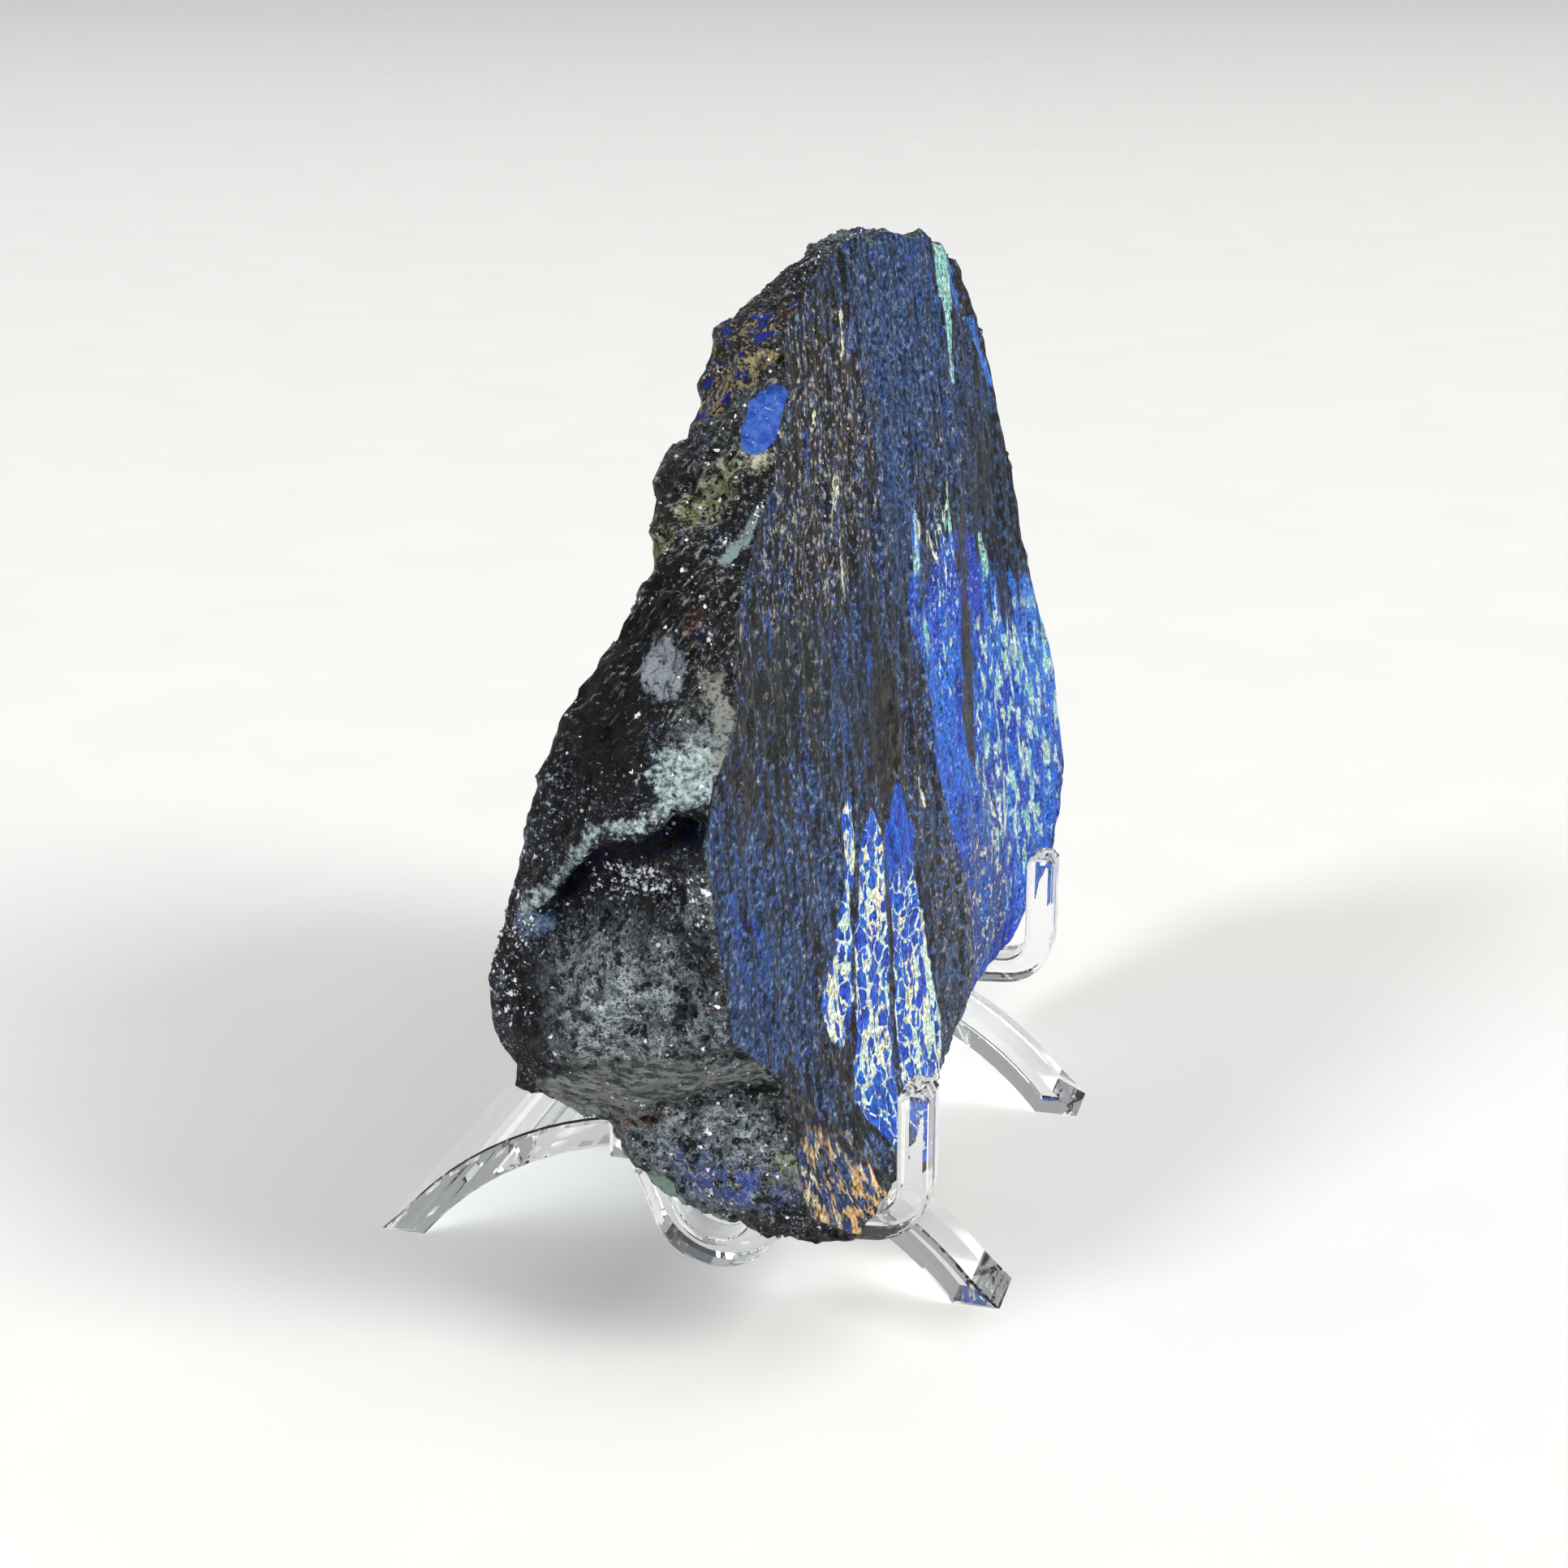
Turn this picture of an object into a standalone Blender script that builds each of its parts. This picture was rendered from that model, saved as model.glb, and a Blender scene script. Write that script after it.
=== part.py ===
"""A thick slab of azurite and malachite standing in a small clear moulded stand.

Metres, +Z up. The origin is on the table, at the middle of the whole object seen from above.
The slab's split face looks along -Y and its rough broken side is at -X. Sizes are written in
millimetres, from a point on the table at the middle of the stand.
"""

import math

import bmesh
import bpy
from mathutils import Vector, noise

MM = 0.001

# The slab reaches further out on its rough side, so the stand isn't quite in the middle.
STAND_CENTRE_X = 1.27

# The stand's base: one sheet bent to an arch, with two legs in front and one wide leg behind.
BASE_HALF_WIDTH = 23.2
LEG_WIDTH = 6.0
FOOT_INNER = 24.28
FOOT_TIP = 28.43
FOOT_BEVEL_HEIGHT = 2.4
ARCH_CENTRE_Z = -19.56
SHEET_THICKNESS = 2.8
NOTCH_DEPTH_Y = -6.0
NOTCH_RADIUS = 5.0

# The bar across the top of the arch, which carries an arm at each end.
BAR_HALF_LENGTH = 30.9
BAR_Y = (0.6, 3.8)
BAR_Z = (13.9, 17.3)

# Each arm from front to back: a lip, a flat seat, a round groove and a riser that leans back.
ARM_INNER_X = 26.7
ARM_OUTER_X = 31.2
LIP_TOP_Z = 22.9
LIP_INNER_Y = -21.03
LIP_OUTER_Y = -23.7
LIP_INNER_RADIUS = 2.3
LIP_OUTER_RADIUS = 4.9
SEAT_TOP_Z = 11.9
SEAT_UNDER_Z = 9.3
SEAT_END_RADIUS = 0.7
GROOVE_CENTRE = (-5.6, 10.8)
GROOVE_RADIUS = 3.2
GROOVE_OUTER_RADIUS = 5.8
RISER_LEAN = math.radians(22.0)
RISER_TOP_Z = 34.0
TIP_ROUND = 0.6
EDGE_ROUND = 0.45

# The slab's split face: a plane that leans back and turns a little to the left. Its foot runs out
# into a toe that stands forward on the rough side and falls back on the far side.
FACE_Y = -20.46
FACE_TURN = -0.096
FACE_LEAN = 0.12
TOE_SLOPE = 0.16
TOE_CENTRE_X = -2.0
TOE_REACH = (-3.6, 3.2)
TOE_HEIGHT = 5.0
LEAST_THICKNESS = 3.0

# Where the slab rests: on both seats in front, clear of the arch behind, and clear of the arms.
BOTTOM_Z = 12.4
ARCH_CLEARANCE = 2.3
REST_GAP = 0.4
ARM_ZONE_X = 32.6
LIP_ZONE_Z = 24.0
BACK_SPREAD = 0.9

# How strongly the broken skin is worked: bulges, crevice, lumps and grain, in millimetres.
SIDE_BELLY = 2.2
BACK_BELLY = 2.5
CREVICE_DEPTH = 2.4
CREVICE_HALF_WIDTH = 0.028
CREVICE_FRONT = 0.515
CREVICE_REAR = 0.41
SIDE_LUMPS = 1.3
FAR_LUMPS = 1.2
TOP_LUMPS = 0.8
BACK_ROUGHNESS = 0.9
FACE_GRAIN = 0.35

# The outline from the foot to the top: split face at the rough side (x, z), rear edge of the rough
# side (x, y, z), split face at the far side (x, z), and the slab's thickness at the far side.
OUTLINE = (
    (-36.0, 12.4, -36.5, -8.0, 12.6, 30.0, 12.4, 9.0),
    (-40.5, 15.8, -37.0, -2.6, 14.6, 36.3, 15.2, 9.0),
    (-39.6, 19.0, -38.0, 0.0, 18.3, 39.5, 17.2, 9.0),
    (-39.2, 22.5, -39.0, 0.8, 21.3, 41.6, 20.6, 9.5),
    (-38.6, 26.2, -40.0, 4.6, 22.6, 43.6, 23.8, 10.0),
    (-42.6, 29.6, -41.0, 7.6, 24.8, 45.0, 26.6, 10.5),
    (-47.0, 33.0, -42.0, 9.2, 30.5, 45.4, 29.0, 11.0),
    (-46.8, 37.0, -42.0, 9.4, 34.5, 45.0, 32.6, 11.0),
    (-47.2, 42.0, -42.0, 8.4, 40.0, 44.3, 37.8, 10.5),
    (-47.7, 48.8, -42.0, 6.4, 46.8, 42.8, 42.7, 10.0),
    (-43.6, 52.3, -41.5, 4.3, 51.8, 40.6, 48.2, 9.5),
    (-38.8, 56.0, -37.5, 3.1, 56.8, 37.6, 53.6, 9.0),
    (-36.9, 62.5, -32.5, 0.9, 61.8, 35.9, 59.9, 8.5),
    (-32.0, 67.4, -27.8, 0.2, 65.3, 34.7, 64.9, 8.0),
    (-25.6, 72.2, -22.5, -0.3, 71.3, 32.9, 68.9, 7.5),
    (-20.6, 77.5, -17.6, -0.9, 76.4, 31.1, 74.1, 7.0),
    (-20.9, 81.2, -15.6, -1.2, 81.4, 28.2, 78.2, 6.0),
    (-14.0, 85.6, -8.5, -4.9, 84.4, 25.4, 82.1, 5.0),
    (-4.0, 87.5, -3.0, -8.2, 86.9, 18.3, 85.4, 4.0),
)

# How finely the slab's skin is divided along its width, its thickness and its height.
WIDTH_CELLS = 28
DEPTH_CELLS = 10
HEIGHT_CELLS = 40


def smooth(low, high, value):
    t = min(max((value - low) / (high - low), 0.0), 1.0)
    return t * t * (3.0 - 2.0 * t)


def mix(a, b, t):
    return a + (b - a) * t


def clear_scene():
    for thing in list(bpy.data.objects):
        bpy.data.objects.remove(thing, do_unlink=True)


def make_object(name, points, faces):
    """A closed mesh from points in millimetres, moved so that the whole object is centred."""
    mesh = bpy.data.meshes.new(name)
    mesh.from_pydata([Vector(point) * MM for point in points], [], faces)
    shell = bmesh.new()
    shell.from_mesh(mesh)
    bmesh.ops.recalc_face_normals(shell, faces=shell.faces)
    shell.to_mesh(mesh)
    shell.free()
    thing = bpy.data.objects.new(name, mesh)
    thing.location.x = STAND_CENTRE_X * MM
    bpy.context.scene.collection.objects.link(thing)
    return thing


def hide_helper(helper):
    helper.hide_render = True
    helper.display_type = "WIRE"


def combine(target, helper, operation):
    step = target.modifiers.new(helper.name, "BOOLEAN")
    step.operation = operation
    step.solver = "EXACT"
    step.object = helper
    hide_helper(helper)


def set_material(thing, name, color, roughness, transmission, index):
    material = bpy.data.materials.new(name)
    material.use_nodes = True
    shader = material.node_tree.nodes["Principled BSDF"]
    shader.inputs["Base Color"].default_value = (*color, 1.0)
    shader.inputs["Roughness"].default_value = roughness
    shader.inputs["Transmission Weight"].default_value = transmission
    shader.inputs["IOR"].default_value = index
    thing.data.materials.append(material)


# The slab


def face_y(x, z):
    """The split face, as the distance it stands forward at a place seen from in front."""
    toe = min(max(TOE_SLOPE * (x - TOE_CENTRE_X), TOE_REACH[0]), TOE_REACH[1])
    toe *= math.exp(-max(z - BOTTOM_Z, 0.0) / TOE_HEIGHT)
    return FACE_Y + FACE_TURN * x + FACE_LEAN * z + toe


def riser_front(z):
    """The front surface of the stand's risers, which the slab's back keeps clear of."""
    start_y = GROOVE_CENTRE[0] + GROOVE_RADIUS * math.cos(RISER_LEAN)
    start_z = GROOVE_CENTRE[1] - GROOVE_RADIUS * math.sin(RISER_LEAN)
    return start_y + (z - start_z) * math.tan(RISER_LEAN)


def outline_at(v):
    """The outline's numbers at height parameter v, from 0 at the foot to 1 at the top."""
    place = v * (len(OUTLINE) - 1)
    row = min(int(place), len(OUTLINE) - 2)
    return [mix(a, b, place - row) for a, b in zip(OUTLINE[row], OUTLINE[row + 1])]


def underside_z(x, y):
    """The foot is flat in front, over the seats, and higher behind, over the arch."""
    over_arch = smooth(-14.0, -6.0, y) * (1.0 - smooth(31.0, 36.0, abs(x)))
    return BOTTOM_Z + ARCH_CLEARANCE * over_arch


def front_point(u, v):
    near_x, near_z, _, _, _, far_x, far_z, _ = outline_at(v)
    x = mix(near_x, far_x, u)
    z = mix(near_z, far_z, u)
    return Vector((x, face_y(x, z), z))


def back_point(u, v):
    """The back bulges between its two sides, and leans on the risers where it meets them."""
    _, _, rear_x, rear_y, rear_z, far_x, far_z, thickness = outline_at(v)
    x = mix(rear_x, far_x - 1.5, u)
    z = mix(rear_z, far_z + 0.4, u)
    y = mix(rear_y, face_y(far_x, far_z) + thickness, u)
    y += BACK_BELLY * math.sin(math.pi * u) * smooth(0.1, 0.5, v)
    y = min(y, riser_front(z) - REST_GAP + BACK_SPREAD * max(abs(x) - ARM_ZONE_X, 0.0))
    return Vector((x, max(y, face_y(x, z) + LEAST_THICKNESS), z))


def side_relief(w, v, point):
    """How far the rough side stands out towards -X: a full belly, a crevice and small lumps."""
    belly = SIDE_BELLY * math.sin(math.pi * w)
    line = mix(CREVICE_FRONT, CREVICE_REAR, w)
    crevice = CREVICE_DEPTH * math.exp(-(((v - line) / CREVICE_HALF_WIDTH) ** 2))
    crevice *= smooth(0.02, 0.12, w) * (1.0 - smooth(0.7, 0.95, w))
    lumps = SIDE_LUMPS * noise.fractal(point * 0.13, 1.0, 2.0, 3) * smooth(0.0, 0.12, w)
    return belly - crevice + lumps


def slab_point(u, v, w):
    """A point of the slab's skin: u along the width, v up, w from the split face to the back."""
    point = front_point(u, v).lerp(back_point(u, v), w)
    broken = smooth(0.0, 0.1, w)
    along_fibres = Vector((point.x * 0.5, point.y * 0.5, point.z * 0.045))
    grain = FACE_GRAIN * noise.fractal(along_fibres, 1.0, 2.0, 3)
    point.y += mix(grain, BACK_ROUGHNESS * noise.fractal(point * 0.1, 1.0, 2.0, 4), broken)
    if u < 0.5:
        point.x -= side_relief(w, v, point) * (1.0 - smooth(0.0, 0.02, u))
    else:
        lumps = FAR_LUMPS * noise.fractal(point * 0.15, 1.0, 2.0, 3)
        point.x += lumps * smooth(0.9, 1.0, u) * broken
    if v > 0.5:
        point.z += TOP_LUMPS * noise.noise(point * 0.35) * smooth(0.93, 1.0, v)
    else:
        floor = underside_z(point.x, point.y)
        point.z = max(point.z, floor) if v > 0.0 else floor
    return keep_clear(point, w)


def keep_clear(point, w):
    """Holds the skin off the stand's lips and risers."""
    if abs(point.x) < ARM_ZONE_X and point.z < LIP_ZONE_Z:
        point.y = max(point.y, LIP_INNER_Y + REST_GAP)
    if abs(point.x) < ARM_ZONE_X and w > 0.5:
        point.y = min(point.y, riser_front(point.z) - REST_GAP)
    return point


def box_shell(cells_x, cells_y, cells_z):
    """The grid points on the skin of a subdivided box, and the quads that join them."""
    points = {}
    quads = []

    def corner(i, j, k):
        return points.setdefault((i, j, k), len(points))

    for i in range(cells_x):
        for k in range(cells_z):
            for j in (0, cells_y):
                ring = [(i, j, k), (i + 1, j, k), (i + 1, j, k + 1), (i, j, k + 1)]
                quads.append([corner(*place) for place in ring])
    for j in range(cells_y):
        for k in range(cells_z):
            for i in (0, cells_x):
                ring = [(i, j, k), (i, j + 1, k), (i, j + 1, k + 1), (i, j, k + 1)]
                quads.append([corner(*place) for place in ring])
    for i in range(cells_x):
        for j in range(cells_y):
            for k in (0, cells_z):
                ring = [(i, j, k), (i + 1, j, k), (i + 1, j + 1, k), (i, j + 1, k)]
                quads.append([corner(*place) for place in ring])
    return list(points), quads


def make_slab():
    grid, quads = box_shell(WIDTH_CELLS, DEPTH_CELLS, HEIGHT_CELLS)
    points = [slab_point(i / WIDTH_CELLS, k / HEIGHT_CELLS, j / DEPTH_CELLS) for i, j, k in grid]
    return make_object("slab", points, quads)


# The stand


def arc(centre, radius, start, end, steps):
    """Points on a circle, with angles in degrees."""
    points = []
    for step in range(steps + 1):
        angle = math.radians(mix(start, end, step / steps))
        points.append((centre[0] + radius * math.cos(angle), centre[1] + radius * math.sin(angle)))
    return points


def arch_profile():
    """The bent sheet from the side: an arch on two flat feet, with bevelled toes."""
    inner = math.hypot(FOOT_INNER, ARCH_CENTRE_Z)
    outer = inner + SHEET_THICKNESS
    foot = math.degrees(math.atan2(-ARCH_CENTRE_Z, FOOT_INNER))
    bevel = math.degrees(math.asin((FOOT_BEVEL_HEIGHT - ARCH_CENTRE_Z) / outer))
    centre = (0.0, ARCH_CENTRE_Z)
    under = arc(centre, inner, 180.0 - foot, foot, 28)
    top = arc(centre, outer, bevel, 180.0 - bevel, 28)
    return under + [(FOOT_TIP, 0.0)] + top + [(-FOOT_TIP, 0.0)]


def arm_inside():
    """The side that the slab meets: down the lip, along the seat, round the groove, up the riser."""
    lip_centre = (LIP_INNER_Y + LIP_INNER_RADIUS, SEAT_TOP_Z + LIP_INNER_RADIUS)
    groove_front = GROOVE_CENTRE[0] - GROOVE_RADIUS - SEAT_END_RADIUS
    points = [(LIP_INNER_Y, LIP_TOP_Z - TIP_ROUND)]
    points += arc(lip_centre, LIP_INNER_RADIUS, 180.0, 270.0, 6)
    points += arc((groove_front, SEAT_TOP_Z - SEAT_END_RADIUS), SEAT_END_RADIUS, 90.0, 0.0, 4)
    points += arc(GROOVE_CENTRE, GROOVE_RADIUS, 188.0, 360.0 - math.degrees(RISER_LEAN), 16)
    points.append((riser_front(RISER_TOP_Z - TIP_ROUND), RISER_TOP_Z - TIP_ROUND))
    return points


def arm_outside():
    """The other side, back from the riser's tip to the lip's tip."""
    thick = (GROOVE_OUTER_RADIUS - GROOVE_RADIUS) / math.cos(RISER_LEAN)
    shoulder_z = RISER_TOP_Z - 2.0 * TIP_ROUND
    under_centre = (LIP_OUTER_Y + LIP_OUTER_RADIUS, SEAT_UNDER_Z + LIP_OUTER_RADIUS)
    points = [(riser_front(RISER_TOP_Z) + TIP_ROUND, RISER_TOP_Z)]
    points.append((riser_front(RISER_TOP_Z) + thick - 2.0 * TIP_ROUND, RISER_TOP_Z))
    points.append((riser_front(shoulder_z) + thick, shoulder_z))
    points += arc(GROOVE_CENTRE, GROOVE_OUTER_RADIUS, 360.0 - math.degrees(RISER_LEAN), 200.0, 18)
    points += arc(under_centre, LIP_OUTER_RADIUS, 270.0, 180.0, 8)
    points.append((LIP_OUTER_Y, LIP_TOP_Z - TIP_ROUND))
    points.append((LIP_OUTER_Y + TIP_ROUND, LIP_TOP_Z))
    points.append((LIP_INNER_Y - TIP_ROUND, LIP_TOP_Z))
    return points


def inset(profile, distance):
    """Moves each side of a closed profile inwards. The profile may run either way round."""
    count = len(profile)
    area = sum(a[0] * b[1] - b[0] * a[1] for a, b in zip(profile, profile[1:] + profile[:1]))
    sign = 1.0 if area > 0.0 else -1.0
    moved = []
    for index in range(count):
        before = (Vector(profile[index]) - Vector(profile[index - 1])).normalized()
        after = (Vector(profile[(index + 1) % count]) - Vector(profile[index])).normalized()
        normal = Vector((-before.y - after.y, before.x + after.x)).normalized() * sign
        reach = max(0.5, math.sqrt(max(0.0, (1.0 + before.dot(after)) / 2.0)))
        moved.append(tuple(Vector(profile[index]) + normal * (distance / reach)))
    return moved


def prism(name, profile, x_low, x_high):
    """A profile in the YZ plane drawn out along X, with its two outer edges rounded."""
    rings = []
    for share_in, share_along in ((1.0, 0.0), (0.3, 0.3), (0.0, 1.0)):
        rings.append((x_low + EDGE_ROUND * share_along, EDGE_ROUND * share_in))
    for share_in, share_along in ((0.0, 1.0), (0.3, 0.3), (1.0, 0.0)):
        rings.append((x_high - EDGE_ROUND * share_along, EDGE_ROUND * share_in))
    points = []
    for x, distance in rings:
        points += [(x, y, z) for y, z in inset(profile, distance)]
    count = len(profile)
    faces = [list(range(count)), list(range(len(points) - count, len(points)))]
    for low in range(0, len(points) - count, count):
        for index in range(count):
            after = (index + 1) % count
            faces.append([low + index, low + after, low + count + after, low + count + index])
    return make_object(name, points, faces)


def notch_cutter():
    """The space between the two front legs, with round inner corners."""
    half = BASE_HALF_WIDTH - LEG_WIDTH
    corner_y = NOTCH_DEPTH_Y - NOTCH_RADIUS
    in_front = -FOOT_TIP - 10.0
    plan = [(-half, in_front)]
    plan += arc((-half + NOTCH_RADIUS, corner_y), NOTCH_RADIUS, 180.0, 90.0, 8)
    plan += arc((half - NOTCH_RADIUS, corner_y), NOTCH_RADIUS, 90.0, 0.0, 8)
    plan += [(half, in_front)]
    count = len(plan)
    points = [(x, y, z) for z in (-5.0, 30.0) for x, y in plan]
    faces = [list(range(count)), list(range(count, 2 * count))]
    for index in range(count):
        after = (index + 1) % count
        faces.append([index, index + count, after + count, after])
    return make_object("notch_cutter", points, faces)


def make_stand():
    base = prism("stand", arch_profile(), -BASE_HALF_WIDTH, BASE_HALF_WIDTH)
    combine(base, notch_cutter(), "DIFFERENCE")
    bar_profile = [(BAR_Y[0], BAR_Z[0]), (BAR_Y[1], BAR_Z[0]), (BAR_Y[1], BAR_Z[1]), (BAR_Y[0], BAR_Z[1])]
    combine(base, prism("bar", bar_profile, -BAR_HALF_LENGTH, BAR_HALF_LENGTH), "UNION")
    arm = arm_inside() + arm_outside()
    combine(base, prism("near_arm", arm, -ARM_OUTER_X, -ARM_INNER_X), "UNION")
    combine(base, prism("far_arm", arm, ARM_INNER_X, ARM_OUTER_X), "UNION")
    return base


clear_scene()
set_material(make_slab(), "azurite_stone", (0.035, 0.08, 0.26), 0.75, 0.0, 1.5)
set_material(make_stand(), "clear_plastic", (0.93, 0.95, 0.96), 0.04, 1.0, 1.49)
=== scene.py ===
import math
import random

import bpy
import numpy as np
from mathutils import Matrix, Vector, noise


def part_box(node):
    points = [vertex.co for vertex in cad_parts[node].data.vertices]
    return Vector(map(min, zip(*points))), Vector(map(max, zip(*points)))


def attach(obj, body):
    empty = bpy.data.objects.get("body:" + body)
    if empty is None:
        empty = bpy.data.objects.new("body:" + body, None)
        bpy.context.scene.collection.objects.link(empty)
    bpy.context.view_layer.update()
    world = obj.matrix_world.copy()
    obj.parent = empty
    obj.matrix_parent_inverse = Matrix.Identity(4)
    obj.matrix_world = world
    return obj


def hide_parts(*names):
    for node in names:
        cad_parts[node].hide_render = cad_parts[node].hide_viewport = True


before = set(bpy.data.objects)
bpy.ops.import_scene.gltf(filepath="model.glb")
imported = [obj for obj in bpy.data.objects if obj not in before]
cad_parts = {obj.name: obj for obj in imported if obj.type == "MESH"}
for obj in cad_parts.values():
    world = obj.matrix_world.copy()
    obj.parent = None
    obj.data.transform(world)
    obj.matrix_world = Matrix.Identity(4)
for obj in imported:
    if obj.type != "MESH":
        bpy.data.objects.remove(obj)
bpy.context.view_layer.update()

# The stone, its form. One natural slab of azurite and malachite, split along its fibres in front
# and broken everywhere else. It stands in the clear stand on its foot and leans on two risers.
# Lengths are in millimetres from the middle of the stand, which is a little off the whole middle.
MM = 0.001
STAND_CENTRE = np.array((1.27, 0.0, 0.0))
BOX_GAP = 0.02

FACE_Y = -20.46
FACE_TURN = -0.096
FACE_LEAN = 0.12
TOE_SLOPE = 0.16
TOE_CENTRE_X = -2.0
TOE_REACH = (-3.6, 3.2)
TOE_HEIGHT = 5.0
LEAST_THICKNESS = 3.0
BACK_EDGE_SHIFT = (-1.5, 0.4)
BACK_BULGE = 2.5

BOTTOM_Z = 12.4
ARCH_CLEARANCE = 2.3
REST_GAP = 0.4
ARM_ZONE_X = 32.6
LIP_ZONE_Z = 24.0
LIP_INNER_Y = -21.03
RISER_START = (-2.633, 9.601)
RISER_LEAN = math.radians(22.0)
BACK_SPREAD = 0.9

BELLY = 2.2
CREVICE_DEPTH = 2.4
CREVICE_LINE = (0.515, 0.41)
CREVICE_HALF_WIDTH = 0.028
SIDE_LUMPS = 1.3
FAR_LUMPS = 1.2
TOP_LUMPS = 0.8

# From the foot to the top: split face at the rough side (x, z), rear edge of the rough side
# (x, y, z), split face at the far side (x, z), and the thickness at the far side.
OUTLINE = (
    (-36.0, 12.4, -36.5, -8.0, 12.6, 30.0, 12.4, 9.0),
    (-40.5, 15.8, -37.0, -2.6, 14.6, 36.3, 15.2, 9.0),
    (-39.6, 19.0, -38.0, 0.0, 18.3, 39.5, 17.2, 9.0),
    (-39.2, 22.5, -39.0, 0.8, 21.3, 41.6, 20.6, 9.5),
    (-38.6, 26.2, -40.0, 4.6, 22.6, 43.6, 23.8, 10.0),
    (-42.6, 29.6, -41.0, 7.6, 24.8, 45.0, 26.6, 10.5),
    (-47.0, 33.0, -42.0, 9.2, 30.5, 45.4, 29.0, 11.0),
    (-46.8, 37.0, -42.0, 9.4, 34.5, 45.0, 32.6, 11.0),
    (-47.2, 42.0, -42.0, 8.4, 40.0, 44.3, 37.8, 10.5),
    (-47.7, 48.8, -42.0, 6.4, 46.8, 42.8, 42.7, 10.0),
    (-43.6, 52.3, -41.5, 4.3, 51.8, 40.6, 48.2, 9.5),
    (-38.8, 56.0, -37.5, 3.1, 56.8, 37.6, 53.6, 9.0),
    (-36.9, 62.5, -32.5, 0.9, 61.8, 35.9, 59.9, 8.5),
    (-32.0, 67.4, -27.8, 0.2, 65.3, 34.7, 64.9, 8.0),
    (-25.6, 72.2, -22.5, -0.3, 71.3, 32.9, 68.9, 7.5),
    (-20.6, 77.5, -17.6, -0.9, 76.4, 31.1, 74.1, 7.0),
    (-20.9, 81.2, -15.6, -1.2, 81.4, 28.2, 78.2, 6.0),
    (-14.0, 85.6, -8.5, -4.9, 84.4, 25.4, 82.1, 5.0),
    (-4.0, 87.5, -3.0, -8.2, 86.9, 18.3, 85.4, 4.0),
)
CELLS = ((150, 56, 190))


def smooth(low, high, value):
    """Rises from 0 to 1 between two values. This one takes a single number."""
    t = min(max((value - low) / (high - low), 0.0), 1.0)
    return t * t * (3.0 - 2.0 * t)


def mix(a, b, t):
    return a + (b - a) * t


def face_y(x, z):
    toe = min(max(TOE_SLOPE * (x - TOE_CENTRE_X), TOE_REACH[0]), TOE_REACH[1])
    toe *= math.exp(-max(z - BOTTOM_Z, 0.0) / TOE_HEIGHT)
    return FACE_Y + FACE_TURN * x + FACE_LEAN * z + toe


def riser_front(z):
    return RISER_START[0] + (z - RISER_START[1]) * math.tan(RISER_LEAN)


def outline_at(v):
    place = v * (len(OUTLINE) - 1)
    row = min(int(place), len(OUTLINE) - 2)
    return [mix(a, b, place - row) for a, b in zip(OUTLINE[row], OUTLINE[row + 1])]


def underside_z(x, y):
    over_arch = smooth(-14.0, -6.0, y) * (1.0 - smooth(31.0, 36.0, abs(x)))
    return BOTTOM_Z + ARCH_CLEARANCE * over_arch


def front_point(u, v):
    near_x, near_z, _, _, _, far_x, far_z, _ = outline_at(v)
    x = mix(near_x, far_x, u)
    z = mix(near_z, far_z, u)
    return Vector((x, face_y(x, z), z))


def back_point(u, v):
    _, _, rear_x, rear_y, rear_z, far_x, far_z, thickness = outline_at(v)
    x = mix(rear_x, far_x + BACK_EDGE_SHIFT[0], u)
    z = mix(rear_z, far_z + BACK_EDGE_SHIFT[1], u)
    y = mix(rear_y, face_y(far_x, far_z) + thickness, u)
    y += BACK_BULGE * math.sin(math.pi * u) * smooth(0.1, 0.5, v)
    y = min(y, riser_front(z) - REST_GAP + BACK_SPREAD * max(abs(x) - ARM_ZONE_X, 0.0))
    return Vector((x, max(y, face_y(x, z) + LEAST_THICKNESS), z))


def side_relief(w, v, point):
    belly = BELLY * math.sin(math.pi * w)
    line = mix(*CREVICE_LINE, w)
    crevice = CREVICE_DEPTH * math.exp(-(((v - line) / CREVICE_HALF_WIDTH) ** 2))
    crevice *= smooth(0.02, 0.12, w) * (1.0 - smooth(0.7, 0.95, w))
    lumps = SIDE_LUMPS * noise.fractal(point * 0.13, 1.0, 2.0, 3) * smooth(0.0, 0.12, w)
    return belly - crevice + lumps


def slab_point(u, v, w):
    """The slab's main form: u along the width, v up, w from the split face to the back."""
    point = front_point(u, v).lerp(back_point(u, v), w)
    broken = smooth(0.0, 0.1, w)
    along_fibres = Vector((point.x * 0.5, point.y * 0.5, point.z * 0.045))
    grain = 0.35 * noise.fractal(along_fibres, 1.0, 2.0, 3)
    point.y += mix(grain, 0.9 * noise.fractal(point * 0.1, 1.0, 2.0, 4), broken)
    if u < 0.5:
        point.x -= side_relief(w, v, point) * (1.0 - smooth(0.0, 0.02, u))
    else:
        lumps = FAR_LUMPS * noise.fractal(point * 0.15, 1.0, 2.0, 3)
        point.x += lumps * smooth(0.9, 1.0, u) * broken
    if v > 0.5:
        point.z += TOP_LUMPS * noise.noise(point * 0.35) * smooth(0.93, 1.0, v)
    else:
        floor = underside_z(point.x, point.y)
        point.z = max(point.z, floor) if v > 0.0 else floor
    return point


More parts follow.
